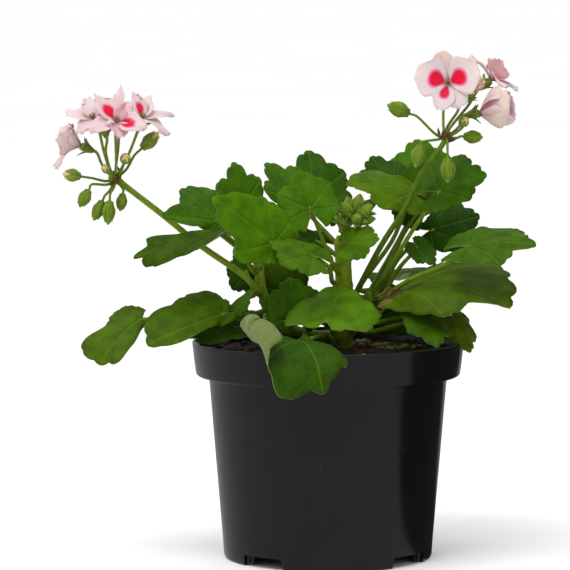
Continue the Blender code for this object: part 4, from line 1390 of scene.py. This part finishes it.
# Share of the bud's length, radius as a share of its girth, and ridge; then reach of the sepals.
budSwell = [
    (0.16, 0.62, 0.06), (0.26, 0.85, 0.08), (0.38, 1.0, 0.09), (0.52, 1.0, 0.09), (0.66, 0.9, 0.08),
    (0.78, 0.7, 0.06), (0.88, 0.45, 0.04), (0.95, 0.24, 0.0), (1.0, 0.08, 0.0),
]
sepalReach = [(0.0, 0.55), (0.15, 0.66), (0.4, 1.03), (0.62, 1.0), (0.8, 0.8), (0.93, 0.62)]


def makeBud(name, bud):
    start, via, tip = (Vector(bud[k]) for k in ("start", "via", "tip"))
    girth = bud["girth"]
    length = bud.get("length", 11.0 if girth > 2.5 else 8.5)
    hub = Vector(hubs[bud["hub"]]["centre"])
    way = (tip - via).normalized()
    base = tip - way * min(length, (tip - via).length * 0.9)
    lead = smoothPath([hub, start, via, base] if (base - via).length > 0.8 else [hub, start, base], 12)
    path, radii, ridges = [Vector(p) for p in lead], [0.62 - 0.01 * k for k in range(12)], [0.0] * 12
    swell = [(0.03, 0.75, 0.0), (0.08, 1.2, 0.04)] + [
        (share, radius * girth, ridge)
        for share, radius, ridge in budSwell
    ]
    for share, radius, ridge in swell:
        path.append(base.lerp(tip, share))
        radii.append(radius)
        ridges.append(ridge)
    body = tube(name + "_body", path, radii, 20, budSkin, ridges)
    pale, brown = budTints[name]

    def tint(p):
        share = (p - base).dot(way) / (tip - base).length
        opened = min(max((share - (0.95 - 0.4 * pale)) / 0.15, 0), 1) * min(pale * 1.4, 1)
        return (opened, brown * (0.3 + 0.7 * opened), 0.0 if share > 0 else 0.05)

    setTint(body, tint)
    pieces = [body]
    out = way.orthogonal().normalized()
    for k in range(5):  # five sepals clasping the bud, their tips free
        around = Matrix.Rotation(k * 2 * math.pi / 5 + 0.3, 3, way) @ out

        def place(s, t, around=around):
            reach = np.interp(t, *zip(*sepalReach)) * girth + 0.12
            width = math.radians(34) * math.sin(math.pi * min(0.2 + 0.8 * t, 1)) ** 0.7
            spun = Matrix.Rotation((s - 0.5) * 2 * width, 3, way) @ around
            return base + way * (tip - base).length * (0.06 + 0.84 * t) + spun * reach

        sepal = shapedGrid("sepal", 6, 10, place, [budSkin], 0.22)
        pieces.append(setTint(sepal, lambda p: (0.12 * pale, brown * 0.4 + 0.1, 0.0)))
    hand(join(name + "_shape", pieces), "bud", name)


for name, bud in buds.items():
    makeBud(name, bud)
print("buds made")

# Each petal: its turn round the flower, length and width in mm, opening, flare, hollow, and tint (blotch,
# pink, warm). The pink and warm shares are partly the petals' own flush and partly painted shade on shaded
# petals and petal backs.
petalSets = {
    "right_floret_large": [
        (-16, 14.8, 6.2, 62, 12, 0.02, (0.0, 0.1, 0.3)), (62, 15.8, 9.0, 62, 14, 0.22, (1.0, 0.05, 0.0)),
        (143, 12.8, 6.0, 60, 18, 0.04, (0.0, 0.1, 0.0)),
        (192, 13.0, 5.2, 60, 16, 0.25, (0.95, 0.05, 0.0)), (286, 15.2, 9.0, 62, 14, 0.22, (1.0, 0.05, 0.0)),
    ],
    "right_floret_upper": [
        (8, 14.5, 4.6, 72, 18, 0.3, (0.0, 0.15, 0.1)), (-50, 11.5, 6.5, 50, -10, 0.45, (0.0, 0.85, 0.2)),
        (-120, 12.5, 5.5, 56, 24, 0.3, (0.55, 0.3, 0.0)),
        (178, 13.5, 4.6, 52, 10, 0.3, (0.0, 0.15, 0.0)), (80, 12.0, 5.0, 50, 15, 0.3, (0.0, 0.3, 0.0)),
    ],
    "right_floret_lower": [
        (10, 16.5, 8.6, 60, -36, 0.3, (0.0, 0.25, 0.1)), (-75, 17.0, 9.6, 62, -38, 0.3, (0.3, 0.15, 0.4)),
        (-150, 16.5, 8.6, 60, -36, 0.3, (0.15, 0.3, 0.0)),
        (140, 16.0, 8.0, 60, -36, 0.3, (0.0, 0.2, 0.0)), (70, 16.0, 8.0, 60, -36, 0.3, (0.0, 0.2, 0.0)),
    ],
    "right_floret_closed": [(turn, 8.5, 2.4, 9, 3, 0.5, (0.0, 0.1, 0.9)) for turn in (0, 72, 144, 216, 288)],
    "left_floret_front": [
        (-38, 16.5, 5.4, 64, 10, 0.3, (1.0, 0.3, 0.0)), (28, 9.5, 2.8, 40, 10, 0.4, (0.0, 0.8, 0.0)),
        (112, 15.0, 5.6, 66, 10, 0.3, (1.0, 0.3, 0.0)),
        (170, 9.0, 4.5, 66, 25, 0.4, (0.1, 0.6, 0.0)), (250, 14.5, 4.2, 74, 14, 0.35, (0.0, 0.3, 0.0)),
    ],
    "left_floret_upper_left": [
        (-72, 15.5, 4.6, 66, 15, 0.3, (0.0, 0.2, 0.0)), (-28, 13.5, 3.8, 50, 22, 0.3, (0.0, 0.15, 0.0)),
        (40, 10.0, 4.0, 50, 10, 0.3, (0.0, 0.6, 0.0)),
        (122, 15.0, 3.6, 76, 6, 0.35, (0.8, 0.4, 0.0)), (215, 11.0, 4.0, 84, 12, 0.3, (0.0, 0.4, 0.0)),
    ],
    "left_floret_top": [
        (5, 15.0, 2.6, 22, 20, 0.4, (0.0, 0.2, 0.0)), (75, 13.0, 4.0, 50, 25, 0.3, (0.0, 0.3, 0.0)),
        (150, 12.0, 5.0, 58, 20, 0.3, (0.3, 0.6, 0.0)),
        (220, 12.0, 5.0, 60, 20, 0.3, (0.0, 0.5, 0.0)), (290, 13.5, 3.6, 42, 25, 0.3, (0.0, 0.2, 0.0)),
    ],
    "left_floret_right": [
        (-22, 13.5, 3.8, 34, 20, 0.35, (0.9, 0.2, 0.0)), (22, 13.0, 3.6, 44, 20, 0.35, (0.8, 0.1, 0.0)),
        (82, 16.0, 3.0, 68, 12, 0.35, (0.0, 0.15, 0.0)),
        (118, 14.5, 3.2, 78, 24, 0.35, (0.0, 0.2, 0.0)), (225, 10.0, 5.0, 68, 10, 0.3, (0.0, 0.2, 0.0)),
    ],
    "left_floret_back": [
        (-70, 13.0, 4.2, 50, 20, 0.3, (0.0, 0.3, 0.0)), (0, 13.0, 4.0, 44, 20, 0.3, (0.0, 0.3, 0.0)),
        (70, 12.0, 4.4, 50, 20, 0.3, (0.6, 0.3, 0.0)),
        (140, 12.0, 4.6, 60, 20, 0.3, (0.6, 0.4, 0.0)), (215, 12.0, 4.4, 66, 20, 0.3, (0.0, 0.3, 0.0)),
    ],
    "left_floret_outer": [
        (20, 12.0, 5.0, 34, 4, 0.5, (0.0, 0.2, 0.0)), (88, 14.0, 7.0, 34, -10, 0.5, (0.0, 0.3, 0.0)),
        (182, 16.0, 2.2, 40, 26, 0.3, (0.0, 0.2, 0.0)),
        (250, 12.0, 5.5, 30, -4, 0.45, (0.2, 0.4, 0.0)), (310, 12.0, 5.0, 30, -4, 0.45, (0.0, 0.3, 0.0)),
    ],
}


def makePetal(centre, face, up, petal, layer, ragged):
    turn, length, width, opening, flare, hollow, tint = petal
    out = Matrix.Rotation(-math.radians(turn), 3, face) @ up
    side = face.cross(out)
    opening, flare = math.radians(opening), math.radians(flare)
    seed = turn * 0.1 + length
    twist = 0.45 * ragged * math.sin(3.1 * seed)

    def place(s, t):
        across = (s - 0.5) * 2
        narrow = 0.2 + 0.8 * math.sin(min(t / (0.72 - 0.2 * ragged), 1) * math.pi / 2) ** 1.2
        half = width * narrow * (1 - (0.22 + 0.3 * ragged) * max(0, (t - 0.72) / 0.28) ** 1.5)
        notch = 0.03 * math.exp(-((across / 0.18) ** 2)) + 0.1 * ragged * math.sin(6.5 * across + seed) ** 2
        run = length * t * (1 - (0.3 * abs(across) ** 2.6 + notch) * t)
        tilt = opening + flare * t
        ruffle = (0.5 + 0.6 * ragged) * t**3 * math.sin(4.2 * across + seed) + 0.25 * t**4 * math.sin(
            11 * across + 2 * seed
        )
        lean = twist * t
        raised = out * -math.cos(tilt) + face * math.sin(tilt)
        over, sideways = raised * math.cos(
            lean
        ) - side * math.sin(lean), side * math.cos(lean) + raised * math.sin(lean)
        foot = centre + face * (0.28 * layer)
        spine = foot + out * run * math.sin(tilt) + face * run * math.cos(tilt)
        return spine + sideways * half * across + over * (hollow * half * across**2 + ruffle)

    return setTint(shapedGrid("petal", 14, 14, place, [petalSkin], 0.22), tint)


floretMake = {
    "layers": (0, 2, 1, 3, 4),
    "smooth": ("right_floret_large", "right_floret_lower"),
    "pedicel": [0.62] * 12 + [0.64, 0.68, 0.75, 0.9, 1.15, 1.5, 1.8, 1.9, 1.7, 1.2],
    "sepals": 5,
    "stamens": 5,
}


def makeFloret(name, floret):
    face = Vector(floret["face"]).normalized()
    up = Vector(floret["up"])
    up = (up - face * up.dot(face)).normalized()
    centre = Vector(floret["centre"])
    ragged = 0.12 if name in floretMake["smooth"] else 1.0
    petals = []
    for k, petal in enumerate(petalSets[name]):
        petals.append(makePetal(centre, face, up, petal, floretMake["layers"][k] * 0.6, ragged))
    hand(join(name + "_petals", petals), "petal", name)
    calyx = [centre - face * 7.5, centre - face * 3.5, centre + face * 0.3]
    path = smoothPath(
        [hubs[floret["hub"]]["centre"], floret["start"], floret["via"]] + calyx, len(floretMake["pedicel"]),
    )
    green = [setTint(tube("pedicel", path, floretMake["pedicel"], 10, budSkin), (0.15, 0.05, 0.05))]
    for k in range(floretMake["sepals"]):
        out = Matrix.Rotation(k * 2 * math.pi / floretMake["sepals"] + 0.6, 3, face) @ up
        foot, lean = centre - face * 6.0 + out * 0.9, face * 0.97 + out * 0.22
        green.append(flake("sepal", foot, lean, -out, 7.0, 3.0, budSkin, (0.1, 0.15, 0.1), -22))
    for k in range(floretMake["stamens"]):
        out = Matrix.Rotation(k * 2 * math.pi / floretMake["stamens"], 3, face) @ up
        foot = centre + out * 0.4
        line = [foot, foot + face * 1.8 + out * 0.3, foot + face * 3.2 + out * 0.8]
        green.append(setTint(tube("stamen", line, [0.22, 0.2, 0.34], 6, budSkin), (0.3, 0.5, 0.0)))
    hand(join(name + "_calyx", green), "bud")


for name, floret in florets.items():
    makeFloret(name, floret)
print("florets made")


cluster = {
    "shoot": [(6.4, 5, 143.2), (8, 4, 147.5), (12, 0, 152)],
    "buds": [  # foot, tip and girth of each
        ((12, -1, 151), (14, -2, 160.5), 3.0), ((11, -1, 150), (6, -6, 157), 2.8),
        ((12, -1, 150), (19, -6, 156), 2.8),
        ((11, -1, 150), (8.5, 4, 159), 2.7), ((12, -1, 150), (20, 3, 158), 2.7),
        ((11, -1, 149), (13.5, -9, 151), 2.6),
        ((10, 0, 148), (4, -5, 150), 2.4), ((11, -1, 149), (20.5, -3, 150), 2.4),
    ],
    "shares": (0.0, 0.2, 0.4, 0.6, 0.78, 0.9, 1.0, 1.05),
    "swell": (0.7, 0.95, 1.0, 0.82, 0.55, 0.28),
    "ridges": [0, 0.04, 0.07, 0.08, 0.06, 0.04, 0, 0],
}


def makeCluster():  # young buds packed on the shoot's tip
    path = smoothPath(cluster["shoot"], 8)
    pieces = [setTint(tube("shoot", path, np.linspace(2.0, 3.0, 8), 12, budSkin), (0.1, 0.0, 0.0))]
    for low, high, girth in cluster["buds"]:
        low, high = Vector(low), Vector(high)
        way = (high - low).normalized()
        path = [low.lerp(high, share) for share in cluster["shares"]]
        radii = [0.8] + [girth * share for share in cluster["swell"]] + [0.15]
        pieces.append(setTint(tube("knob", path, radii, 15, budSkin, cluster["ridges"]), (0.06, 0.0, 0.0)))
        out = way.orthogonal().normalized()
        for k in range(4):
            around = Matrix.Rotation(k * math.pi / 2 + girth * 5, 3, way) @ out
            foot = low.lerp(high, 0.35) + around * girth * 0.75
            pieces.append(
                flake("scale", foot, way + around * 0.25, -around, 5.2, 2.2, budSkin, (0.12, 0.0, 0.0), -25)
            )
    hand(join("youngBudCluster", pieces), "bud", "young_bud_cluster")


makeCluster()
print("bud cluster made")
